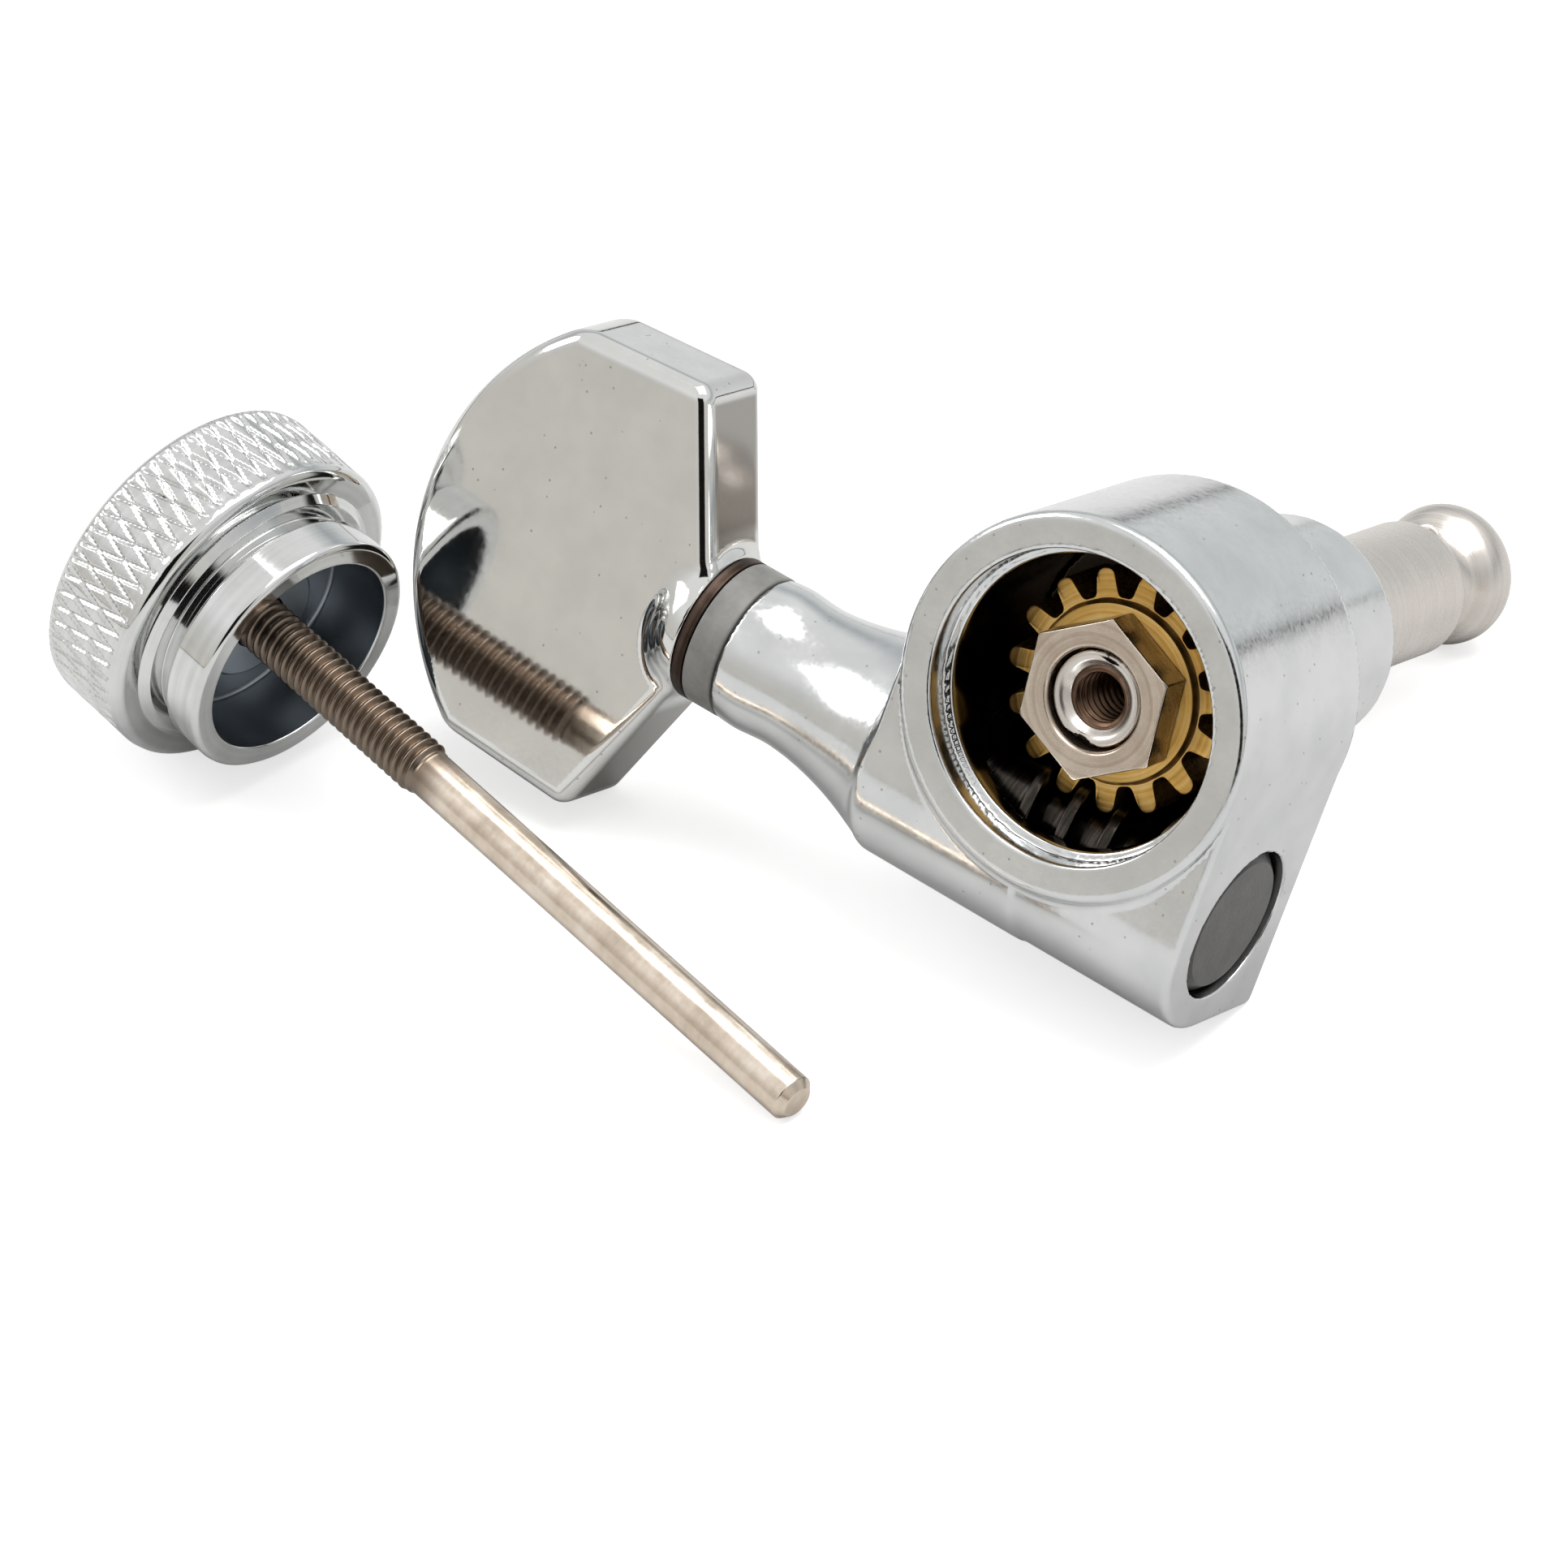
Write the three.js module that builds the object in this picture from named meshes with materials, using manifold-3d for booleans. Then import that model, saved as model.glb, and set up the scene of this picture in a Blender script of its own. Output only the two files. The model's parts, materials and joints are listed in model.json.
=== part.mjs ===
// A rear-locking guitar tuning machine with its locking knob unscrewed beside it, in millimetres, +Z up.
// The tuner is built in its own frame: the worm axis runs along X with the button at -X, the string
// post runs along Y from the case's rear rim at y = 0 towards its tip, and Z runs from the worm up to
// the post. It is then laid on the table on its three lowest points, and the knob beside it on two.
import * as THREE from "three";
import { mergeVertices } from "three/addons/utils/BufferGeometryUtils.js";
import Module from "manifold-3d";

const wasm = await Module();
wasm.setup();

// Case: a round cup, open at the rear, whose flat front is the mounting face.
const CASE_RADIUS = 8.1;
const CASE_DEPTH = 10.1;
const CASE_FLOOR = 1.8;
const CASE_BORE_RADIUS = 6.2;
const RIM_BORE_RADIUS = 6.57;
const RIM_STEP_DEPTH = 1.2;
const RIM_ROUND = 0.35;
const COLLAR_RADIUS = 5;
const COLLAR_LENGTH = 9.2;
const COLLAR_CHAMFER = 0.3;
const COLLAR_BORE_RADIUS = 4;
const COLLAR_BORE_DEPTH = 7.6;

// Worm tube below the case, and the neck that flares out of it towards the button.
const WORM_DROP = 7.05;
const WORM_BEHIND_FACE = 4.7;
const TUBE_RADIUS = 4.9;
const BLOCK_CHAMFER = 0.35;
const END_ROUND = 0.2;
const NECK_LENGTH = 8.6;
const NECK_RADIUS = 3.3;
const WORM_BORE_RADIUS = 3.4;
const WORM_BORE_LENGTH = 14.4;
// Share of the neck's length from its end, and share of the way from the neck's radius to the tube's.
const NECK_SHARES = [
  [0.03, 0],
  [0.1, 0.05],
  [0.19, 0],
  [0.28, -0.04],
  [0.37, -0.01],
  [0.47, 0.06],
  [0.58, 0.175],
  [0.7, 0.345],
  [0.78, 0.485],
  [0.85, 0.625],
  [0.93, 0.8],
  [1, 0.96],
];
const NECK_END_SHARE = 0.95;

// Locating pins pressed into the mounting face.
const LOCATING_PIN_RADIUS = 0.8;
const LOCATING_PIN_HEIGHT = 1.6;
const LOCATING_PIN_SINK = 1;
const LOCATING_PIN_CHAMFER = 0.2;
const LOCATING_PIN_SPACING = 13;

// String post, its bearing bush and its cross hole for the string.
const POST_RADIUS = 3;
const POST_REACH = 19.6;
const POST_REAR_SINK = 0.3;
const POST_STUB_RADIUS = 2.05;
const POST_WAIST_RADIUS = 2.05;
const POST_HEAD_RADIUS = 3.13;
const POST_TOP_LENGTH = 5.4;
const POST_FLAT = 0.3;
const POST_TAP_RADIUS = 1.3;
const POST_TAP_DEPTH = 13;
const POST_COUNTERSINK = 0.4;
const POST_PIN_BORE_RADIUS = 1.15;
const POST_PIN_BORE_PAST_STEP = 3.7;
const STRING_HOLE_RADIUS = 0.85;
const STRING_HOLE_ANGLE = 25;
const BUSH_WALL = 0.5;
// Share of the length above the barrel, and share of the way from the waist's radius to the head's.
const POST_TOP_SHARES = [
  [0.02, 0.83],
  [0.07, 0.62],
  [0.13, 0.35],
  [0.19, 0.14],
  [0.25, 0.02],
  [0.31, 0],
  [0.38, 0.1],
  [0.45, 0.32],
  [0.52, 0.6],
  [0.59, 0.84],
  [0.67, 0.98],
  [0.75, 1],
  [0.83, 0.92],
  [0.91, 0.66],
  [0.97, 0.22],
];
const STRING_HOLE_SHARE = 0.29;
const POST_DOME_SHARE = 0.55;

// Worm wheel, its nut and its thrust washer.
const WHEEL_TEETH = 15;
const WHEEL_TIP_RADIUS = 5.15;
const TOOTH_DEPTH = 1.2;
const WHEEL_WIDTH = 2.9;
const WHEEL_PHASE = 19.6;
const WHEEL_HUB_RADIUS = 3.9;
const WHEEL_HUB_RISE = 0.35;
const NUT_SIDES = 6;
const NUT_CORNER_RADIUS = 3.59;
const NUT_THICKNESS = 1.6;
const NUT_PHASE = 36.8;
const NUT_BORE_CLEARANCE = 0.12;
const WASHER_THICKNESS = 0.6;
const WHEEL_WASHER_RADIUS = 4.5;
// Half a tooth gap: share of the tooth depth above the root, and share of the tooth pitch.
const GAP_SHARES = [
  [0, 0.1],
  [0.05, 0.17],
  [0.16, 0.215],
  [0.3, 0.235],
  [0.5, 0.262],
  [0.75, 0.29],
  [0.88, 0.33],
  [0.95, 0.38],
  [1, 0.45],
];

// Worm shaft and what holds it along the tube.
const MESH_CLEARANCE = 0.1;
const WORM_LENGTH = 8.6;
const WORM_CREST_HALF = 0.25;
const WORM_ROOT_HALF = 0.46;
const SHAFT_RADIUS = 1.9;
const SHAFT_END_RADIUS = 1.7;
const SHAFT_FLAT = 0.35;
const SHAFT_IN_BUTTON = 10;
const SHAFT_TAP_DEPTH = 4.6;
const JOURNAL_RADIUS = 1.5;
const JOURNAL_IN_PLUG = 1.4;
const PLUG_LENGTH = 3;
const PLUG_CHAMFER = 0.35;
const PLUG_SINK = 0.15;

// Washers between the neck and the button.
const SPACER_THICKNESS = 1.45;
const SPRING_THICKNESS = 0.5;

// Button: a half-moon plate with a V-shaped inner side, a round hub and a screw from its arc.
const BUTTON_THICKNESS = 4.6;
const BUTTON_ROUND = 0.45;
const BUTTON_CORNER_ROUND = 0.8;
const BUTTON_FLAT = 0.15;
const BUTTON_FLAT_HALF_SPAN = 3;
const BUTTON_FLAT_ROUND = 1.2;
const BUTTON_INNER = 3.05;
const BUTTON_OUTER = 9.75;
const BUTTON_WIDTH = 14.5;
const BUTTON_HALF_SPAN = 10.15;
const BUTTON_OUTER_HALF_SPAN = 9.7;
const HUB_RADIUS = 3.3;
const HUB_LENGTH = 2.6;
const SCREW_RADIUS = 1.1;
const SCREW_HEAD_RADIUS = 1.9;
const SCREW_HEAD_HEIGHT = 1.3;
const SCREW_HEAD_SINK = 0.3;
const SCREW_SLOT_WIDTH = 0.5;
const SCREW_SLOT_DEPTH = 0.6;
const SCREW_WASHER_THICKNESS = 0.4;

// Locking knob and its threaded pin, measured along the pin from the knob's rear face.
const KNOB_RADIUS = 7.6;
const KNOB_LENGTH = 4.94;
const KNOB_REAR_ROUND = 0.7;
const KNOB_FRONT_ROUND = 0.5;
const KNOB_RING_RADIUS = 6.35;
const KNOB_RING_LENGTH = 0.35;
const KNOB_GROOVE_RADIUS = 5.35;
const KNOB_GROOVE_LENGTH = 0.75;
const SPIGOT_CLEARANCE = 0.37;
const SPIGOT_LENGTH = 3.1;
const SPIGOT_ROUND = 0.3;
const SPIGOT_WALL = 1.05;
const SPIGOT_BORE_DEPTH = 3.4;
const KNOB_BOSS_RADIUS = 2.9;
const KNOB_BOSS_HEIGHT = 0.8;
const KNOB_SOCKET_FLOOR = 1.2;
const KNOB_DISH_RADIUS = 5;
const KNOB_DISH_DEPTH = 0.4;
const PIN_THREAD_RADIUS = 1.25;
const PIN_THREAD_END = 16.1;
const PIN_NECK_END = 18.3;
const PIN_RADIUS = 1.05;
const PIN_LENGTH = 39.6;
const PIN_TIP_CHAMFER = 0.35;

// Where the knob lies: how far its rear face's centre is past the button's arc and behind the worm's
// place, and the pin's heading.
const KNOB_PAST_BUTTON = 9.5;
const KNOB_BEHIND_WORM = 11.15;
const KNOB_HEADING = -10;

// Clearances and facets.
const FACE_GAP = 0.05;
const PRESS_GAP = 0.03;
const RUN_GAP = 0.06;
const ROUND_FACETS = 40;
const SMALL_FACETS = 28;
const WORM_FACETS = 23;
const ROUND_STEPS = 3;
const WHEEL_LAYERS = 2;
const REST_STEPS = 12;
const REST_LEAN = 0.4;
const WELD = 1e-4;

// Derived places shared by mating pieces.
const WORM_DEPTH = CASE_DEPTH - WORM_BEHIND_FACE;
const WHEEL_FACE = WORM_DEPTH - WHEEL_WIDTH / 2;
const NUT_FRONT = WHEEL_FACE - WHEEL_HUB_RISE - FACE_GAP;
const NUT_REAR = NUT_FRONT - NUT_THICKNESS;
const POST_REAR = NUT_REAR + POST_REAR_SINK;
const POST_SHOULDER = WHEEL_FACE + WHEEL_WIDTH + FACE_GAP;
const POST_STEP = CASE_DEPTH + POST_REACH;
const POST_PIN_BORE_END = POST_STEP + POST_PIN_BORE_PAST_STEP;
const NECK_END = -(CASE_RADIUS + NECK_LENGTH);
const SPACER_END = NECK_END - SPACER_THICKNESS - FACE_GAP;
const HUB_FACE = SPACER_END - SPRING_THICKNESS - 2 * FACE_GAP;
const WHEEL_ROOT_RADIUS = WHEEL_TIP_RADIUS - TOOTH_DEPTH;
const WHEEL_PITCH_RADIUS = WHEEL_TIP_RADIUS - TOOTH_DEPTH / 2;
const WORM_RADIUS = WORM_DROP - WHEEL_ROOT_RADIUS - MESH_CLEARANCE;
const WORM_CORE_RADIUS = WORM_DROP - WHEEL_TIP_RADIUS - MESH_CLEARANCE;
const WORM_LEAD = (2 * Math.PI * WHEEL_PITCH_RADIUS) / WHEEL_TEETH;
const WORM_BORE_END = CASE_RADIUS - WORM_BORE_LENGTH;
const BLOCK_BOTTOM = WORM_DROP + TUBE_RADIUS;
const CASE_FLOOR_AT = CASE_DEPTH - CASE_FLOOR;
const BUSH_RADIUS = POST_RADIUS + RUN_GAP + BUSH_WALL;
const COLLAR_END = CASE_DEPTH + COLLAR_LENGTH;
const COLLAR_BORE_FLOOR = COLLAR_END - COLLAR_BORE_DEPTH;
const PLUG_FACE = CASE_RADIUS - PLUG_SINK;
const SHAFT_END = HUB_FACE - SHAFT_IN_BUTTON;
const BUTTON_ARC_END = HUB_FACE - BUTTON_WIDTH;
const SCREW_HEAD_AT = BUTTON_ARC_END + SCREW_HEAD_SINK;
const SCREW_WASHER_AT = SCREW_HEAD_AT + SCREW_HEAD_HEIGHT + FACE_GAP;
const SCREW_SEAT_AT = SCREW_WASHER_AT + SCREW_WASHER_THICKNESS + FACE_GAP;
const STRING_HOLE_AT = POST_STEP + STRING_HOLE_SHARE * POST_TOP_LENGTH;
const KNOB_AT_X = BUTTON_ARC_END - KNOB_PAST_BUTTON;
const KNOB_AT_Y = WORM_DEPTH - KNOB_BEHIND_WORM;
const SPIGOT_RADIUS = CASE_BORE_RADIUS - SPIGOT_CLEARANCE;
const SPIGOT_END = KNOB_LENGTH + SPIGOT_LENGTH;
const SPIGOT_BORE_RADIUS = SPIGOT_RADIUS - SPIGOT_WALL;

const { degToRad, radToDeg } = THREE.MathUtils;

// Closed solid of a three.js geometry, without its seams and collapsed triangles.
function solidOf(geometry) {
  const bare = new THREE.BufferGeometry();
  const source = geometry.index ? geometry.toNonIndexed() : geometry;
  bare.setAttribute("position", source.getAttribute("position"));
  const merged = mergeVertices(bare, WELD);
  const kept = [];
  for (let i = 0; i < merged.index.count; i += 3) {
    const corners = [0, 1, 2].map((j) => merged.index.getX(i + j));
    if (new Set(corners).size === corners.length) kept.push(...corners);
  }
  const mesh = new wasm.Mesh({
    numProp: 3,
    vertProperties: merged.attributes.position.array,
    triVerts: new Uint32Array(kept),
  });
  return new wasm.Manifold(mesh);
}

// three.js geometry of a solid, flat-shaded.
function geometryOf(solid) {
  const mesh = solid.getMesh();
  const geometry = new THREE.BufferGeometry();
  geometry.setAttribute("position", new THREE.BufferAttribute(mesh.vertProperties, 3));
  geometry.setIndex(new THREE.BufferAttribute(mesh.triVerts, 1));
  const flat = geometry.toNonIndexed();
  flat.computeVertexNormals();
  return flat;
}

// Body of revolution about Y from [radius, y] points of a closed outline, wound to face outwards.
function turned(points, facets = ROUND_FACETS) {
  let area = 0;
  points.forEach(([r, y], i) => {
    const [nextR, nextY] = points[(i + 1) % points.length];
    area += r * nextY - nextR * y;
  });
  const wound = area > 0 ? points : [...points].reverse();
  const outline = [...wound, wound[0]].map(([r, y]) => new THREE.Vector2(r, y));
  return solidOf(new THREE.LatheGeometry(outline, facets));
}

// Body of revolution about the worm axis from [radius, x] points.
function turnedOnWorm(points, facets = ROUND_FACETS) {
  return turned(points, facets).rotate([0, 0, -90]).translate([0, WORM_DEPTH, -WORM_DROP]);
}

// Plain cylinder profile between two places on its axis, with chamfered ends where given.
function rod(radius, from, to, chamferFrom = 0, chamferTo = 0) {
  return [
    [0, from],
    [radius - chamferFrom, from],
    [radius, from + chamferFrom],
    [radius, to - chamferTo],
    [radius - chamferTo, to],
    [0, to],
  ];
}

// Ring profile between two radii and two places on its axis.
function ring(inner, outer, from, to) {
  return [
    [inner, from],
    [outer, from],
    [outer, to],
    [inner, to],
  ];
}

// Quarter round from one profile point to the next: the corner is the point that it cuts off.
function quarterRound([fromR, fromY], [cornerR, cornerY], [toR, toY], steps = ROUND_STEPS) {
  const points = [];
  for (let i = 0; i <= steps; i += 1) {
    const turn = (Math.PI / 2) * (i / steps);
    const a = 1 - Math.sin(turn);
    const b = 1 - Math.cos(turn);
    points.push([
      cornerR + (fromR - cornerR) * a + (toR - cornerR) * b,
      cornerY + (fromY - cornerY) * a + (toY - cornerY) * b,
    ]);
  }
  return points;
}

// Prism of a 2-D outline of [x, z] points between two depths, with a twist from end to end about Y.
function prismOnY(outline, from, to, twist = 0, layers = 1) {
  const contour = outline.map(([x, z]) => new THREE.Vector2(x, z));
  const caps = THREE.ShapeUtils.triangulateShape(contour, []);
  const positions = [];
  const count = outline.length;
  for (let k = 0; k <= layers; k += 1) {
    const turn = twist * (k / layers);
    const y = from + (to - from) * (k / layers);
    for (const [x, z] of outline)
      positions.push(
        x * Math.cos(turn) + z * Math.sin(turn),
        y,
        z * Math.cos(turn) - x * Math.sin(turn),
      );
  }
  const index = [];
  for (let k = 0; k < layers; k += 1)
    for (let i = 0; i < count; i += 1) {
      const j = (i + 1) % count;
      const [a, b] = [k * count + i, k * count + j];
      index.push(a, a + count, b, b, a + count, b + count);
    }
  for (const [a, b, c] of caps) {
    index.push(a, b, c);
    index.push(layers * count + a, layers * count + c, layers * count + b);
  }
  const geometry = new THREE.BufferGeometry();
  geometry.setAttribute("position", new THREE.Float32BufferAttribute(positions, 3));
  geometry.setIndex(index);
  return solidOf(geometry);
}

// Prism of a 2-D outline of [y, z] points between two places on X, with its end edges chamfered.
function prismOnX(outline, from, to, chamfer = 0) {
  const shape = new THREE.Shape(outline.map(([y, z]) => new THREE.Vector2(y, z)));
  const geometry = new THREE.ExtrudeGeometry(shape, {
    depth: to - from - 2 * chamfer,
    bevelEnabled: chamfer > 0,
    bevelThickness: chamfer,
    bevelSize: chamfer,
    bevelOffset: -chamfer,
    bevelSegments: 1,
  });
  geometry.translate(0, 0, from + chamfer);
  // Shape x, y and depth become y, z and x.
  geometry.applyMatrix4(new THREE.Matrix4().set(0, 0, 1, 0, 1, 0, 0, 0, 0, 1, 0, 0, 0, 0, 0, 1));
  return solidOf(geometry);
}

// Arc of points from one point to another about a centre, the shorter way round, with a radius.
function arcPoints(centre, from, to, radius, steps) {
  const start = from.clone().sub(centre).angle();
  const sweep = to.clone().sub(centre).angle() - start;
  const shorter = sweep - 2 * Math.PI * Math.round(sweep / (2 * Math.PI));
  return Array.from({ length: steps + 1 }, (_, i) => {
    const turn = start + shorter * (i / steps);
    return new THREE.Vector2(Math.cos(turn), Math.sin(turn)).multiplyScalar(radius).add(centre);
  });
}

// Outline through [x, y, radius] corners, each rounded by its own radius; zero leaves it sharp.
function roundedOutline(corners, steps) {
  return corners.flatMap(([x, y, radius], i) => {
    const corner = new THREE.Vector2(x, y);
    if (!radius) return [corner];
    const [before, after] = [i + corners.length - 1, i + 1].map((j) => {
      const [otherX, otherY] = corners[j % corners.length];
      return new THREE.Vector2(otherX, otherY).sub(corner).normalize();
    });
    const half = before.angleTo(after) / 2;
    const cut = radius / Math.tan(half);
    const centre = before.clone().add(after).setLength(radius / Math.sin(half)).add(corner);
    const from = before.multiplyScalar(cut).add(corner);
    const to = after.multiplyScalar(cut).add(corner);
    return arcPoints(centre, from, to, radius, steps);
  });
}

// Regular polygon of [x, z] points.
function polygon(radius, sides, phase) {
  return Array.from({ length: sides }, (_, i) => {
    const turn = phase + (2 * Math.PI * i) / sides;
    return [radius * Math.cos(turn), radius * Math.sin(turn)];
  });
}

// Die-cast housing: case cup, block with the worm tube, flared neck and front collar in one casting.
function housing() {
  const cup = turned([
    [0, 0],
    ...quarterRound([CASE_RADIUS - RIM_ROUND, 0], [CASE_RADIUS, 0], [CASE_RADIUS, RIM_ROUND]),
    [CASE_RADIUS, CASE_DEPTH - BLOCK_CHAMFER / 2],
    [CASE_RADIUS - BLOCK_CHAMFER / 2, CASE_DEPTH],
    [0, CASE_DEPTH],
  ]);
  const steps = SMALL_FACETS / 2;
  const rearHalf = Array.from({ length: steps + 1 }, (_, i) => {
    const turn = Math.PI + (Math.PI / 2) * (i / steps);
    return [
      WORM_DEPTH + TUBE_RADIUS * Math.cos(turn),
      -WORM_DROP + TUBE_RADIUS * Math.sin(turn),
    ];
  });
  const block = prismOnX(
    [
      [CASE_DEPTH, 0],
      [WORM_DEPTH - TUBE_RADIUS, 0],
      ...rearHalf,
      [CASE_DEPTH - BLOCK_CHAMFER, -BLOCK_BOTTOM],
      [CASE_DEPTH, BLOCK_CHAMFER - BLOCK_BOTTOM],
    ],
    -CASE_RADIUS,
    CASE_RADIUS,
    END_ROUND,
  );
  const neckSpan = TUBE_RADIUS - NECK_RADIUS;
  const neck = turnedOnWorm([
    [0, NECK_END],
    [NECK_RADIUS * NECK_END_SHARE, NECK_END],
    ...NECK_SHARES.map(([along, out]) => [
      NECK_RADIUS + neckSpan * out,
      NECK_END + NECK_LENGTH * along,
    ]),
    [NECK_RADIUS, 0],
    [0, 0],
  ]);
  const collar = turned(rod(COLLAR_RADIUS, CASE_FLOOR_AT, COLLAR_END, 0, COLLAR_CHAMFER));
  const caseBore = turned([
    [0, -RIM_ROUND],
    [RIM_BORE_RADIUS, -RIM_ROUND],
    [RIM_BORE_RADIUS, RIM_STEP_DEPTH],
    [CASE_BORE_RADIUS, RIM_STEP_DEPTH],
    [CASE_BORE_RADIUS, CASE_FLOOR_AT],
    [0, CASE_FLOOR_AT],
  ]);
  const frontBore = turned([
    [0, CASE_FLOOR_AT - CASE_FLOOR],
    [BUSH_RADIUS + PRESS_GAP, CASE_FLOOR_AT - CASE_FLOOR],
    [BUSH_RADIUS + PRESS_GAP, COLLAR_BORE_FLOOR],
    [COLLAR_BORE_RADIUS, COLLAR_BORE_FLOOR],
    [COLLAR_BORE_RADIUS, COLLAR_END + CASE_FLOOR],
    [0, COLLAR_END + CASE_FLOOR],
  ]);
  const wormBore = turnedOnWorm([
    [0, NECK_END - NECK_RADIUS],
    [SHAFT_RADIUS + RUN_GAP, NECK_END - NECK_RADIUS],
    [SHAFT_RADIUS + RUN_GAP, WORM_BORE_END],
    [WORM_BORE_RADIUS, WORM_BORE_END],
    [WORM_BORE_RADIUS, CASE_RADIUS + NECK_RADIUS],
    [0, CASE_RADIUS + NECK_RADIUS],
  ]);
  let solid = cup.add(block).add(neck).add(collar);
  solid = solid.subtract(caseBore).subtract(frontBore).subtract(wormBore);
  for (const side of [-1, 1])
    solid = solid.subtract(
      turned(
        rod(LOCATING_PIN_RADIUS + PRESS_GAP, CASE_DEPTH - LOCATING_PIN_SINK - FACE_GAP, COLLAR_END),
        SMALL_FACETS / 2,
      ).translate([(side * LOCATING_PIN_SPACING) / 2, 0, 0]),
    );
  return solid;
}

// Dowel that keeps the housing from turning on the headstock.
function locatingPin(side) {
  return turned(
    rod(
      LOCATING_PIN_RADIUS,
      CASE_DEPTH - LOCATING_PIN_SINK,
      CASE_DEPTH + LOCATING_PIN_HEIGHT,
      0,
      LOCATING_PIN_CHAMFER,
    ),
    SMALL_FACETS / 2,
  ).translate([(side * LOCATING_PIN_SPACING) / 2, 0, 0]);
}

// Polymer bearing bush in the case's front wall.
function postBush() {
  return turned(
    ring(POST_RADIUS + RUN_GAP, BUSH_RADIUS, CASE_FLOOR_AT + FACE_GAP, COLLAR_BORE_FLOOR - FACE_GAP),
  );
}

// Solid on the post axis that takes a pair of flats off whatever it cuts.
function flatsCutter(halfWidth, from, to) {
  const reach = 2 * CASE_RADIUS;
  const slab = (z0, z1) =>
    prismOnY(
      [
        [-reach, z0],
        [reach, z0],
        [reach, z1],
        [-reach, z1],
      ],
      from,
      to,
    );
  return slab(halfWidth, reach).add(slab(-reach, -halfWidth));
}

// String post: threaded stub, flatted seat for the wheel, barrel, waist with its string hole, head.
function stringPost() {
  const span = POST_HEAD_RADIUS - POST_WAIST_RADIUS;
  const top = POST_STEP + POST_TOP_LENGTH;
  const body = turned([
    [0, POST_REAR],
    [POST_STUB_RADIUS - POST_FLAT / 2, POST_REAR],
    [POST_STUB_RADIUS, POST_REAR + POST_FLAT / 2],
    [POST_STUB_RADIUS, POST_SHOULDER + FACE_GAP],
    [POST_RADIUS, POST_SHOULDER + FACE_GAP],
    [POST_RADIUS, POST_STEP],
    ...POST_TOP_SHARES.map(([along, out]) => [
      POST_WAIST_RADIUS + span * out,
      POST_STEP + POST_TOP_LENGTH * along,
    ]),
    [POST_WAIST_RADIUS * POST_DOME_SHARE, top],
    [0, top],
  ]);
  const bore = turned(
    [
      [0, 0],
      [POST_TAP_RADIUS + POST_COUNTERSINK, 0],
      [POST_TAP_RADIUS + POST_COUNTERSINK, POST_REAR],
      [POST_TAP_RADIUS, POST_REAR + POST_COUNTERSINK],
      [POST_TAP_RADIUS, POST_REAR + POST_TAP_DEPTH],
      [POST_PIN_BORE_RADIUS, POST_REAR + POST_TAP_DEPTH + POST_COUNTERSINK],
      [POST_PIN_BORE_RADIUS, POST_PIN_BORE_END],
      [0, POST_PIN_BORE_END + POST_PIN_BORE_RADIUS / 2],
    ],
    SMALL_FACETS,
  );
  const hole = turned(rod(STRING_HOLE_RADIUS, -CASE_RADIUS, CASE_RADIUS), SMALL_FACETS)
    .rotate([90, 0, 0])
    .rotate([0, -STRING_HOLE_ANGLE, 0])
    .translate([0, STRING_HOLE_AT, 0]);
  const seat = flatsCutter(POST_STUB_RADIUS - POST_FLAT, POST_REAR - FACE_GAP, POST_SHOULDER);
  return body.subtract(seat).subtract(bore).subtract(hole);
}

// Outline of the wheel's teeth, with rounded gaps and tips.
function wheelOutline() {
  const pitch = (2 * Math.PI) / WHEEL_TEETH;
  const points = [];
  for (let tooth = 0; tooth < WHEEL_TEETH; tooth += 1) {
    const gap = degToRad(WHEEL_PHASE) + pitch * (tooth + 1 / 2);
    const halves = [
      ...[...GAP_SHARES].reverse().map(([up, share]) => [up, -share]),
      ...GAP_SHARES,
    ];
    for (const [up, share] of halves) {
      const radius = WHEEL_ROOT_RADIUS + TOOTH_DEPTH * up;
      const turn = gap + pitch * share;
      points.push([radius * Math.cos(turn), radius * Math.sin(turn)]);
    }
  }
  return points;
}

// Brass worm wheel with teeth set over by the worm's lead angle.
function wormWheel() {
  const wormPitchRadius = WORM_DROP - WHEEL_PITCH_RADIUS;
  const lead = Math.atan2(WORM_LEAD, 2 * Math.PI * wormPitchRadius);
  const twist = (WHEEL_WIDTH * Math.tan(lead)) / WHEEL_PITCH_RADIUS;
  const turnBack = radToDeg(twist / 2);
  const teeth = prismOnY(wheelOutline(), WHEEL_FACE, WHEEL_FACE + WHEEL_WIDTH, twist, WHEEL_LAYERS)
    .rotate([0, -turnBack, 0]);
  const hub = turned([
    [0, WHEEL_FACE - WHEEL_HUB_RISE],
    [WHEEL_HUB_RADIUS - WHEEL_HUB_RISE / 2, WHEEL_FACE - WHEEL_HUB_RISE],
    [WHEEL_HUB_RADIUS, WHEEL_FACE],
    [WHEEL_HUB_RADIUS, WHEEL_FACE + WHEEL_WIDTH / 2],
    [0, WHEEL_FACE + WHEEL_WIDTH / 2],
  ]);
  const seat = turned(
    rod(POST_STUB_RADIUS + RUN_GAP, 0, CASE_DEPTH),
    SMALL_FACETS,
  ).subtract(flatsCutter(POST_STUB_RADIUS - POST_FLAT + RUN_GAP, -FACE_GAP, CASE_DEPTH + FACE_GAP));
  return teeth.add(hub).subtract(seat);
}

// Hexagon nut that clamps the wheel against the post's shoulder.
function wheelNut() {
  const hexagon = prismOnY(
    polygon(NUT_CORNER_RADIUS, NUT_SIDES, degToRad(NUT_PHASE)),
    NUT_REAR,
    NUT_FRONT,
  );
  return hexagon.subtract(
    turned(rod(POST_STUB_RADIUS + NUT_BORE_CLEARANCE, 0, CASE_DEPTH), SMALL_FACETS),
  );
}

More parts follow.
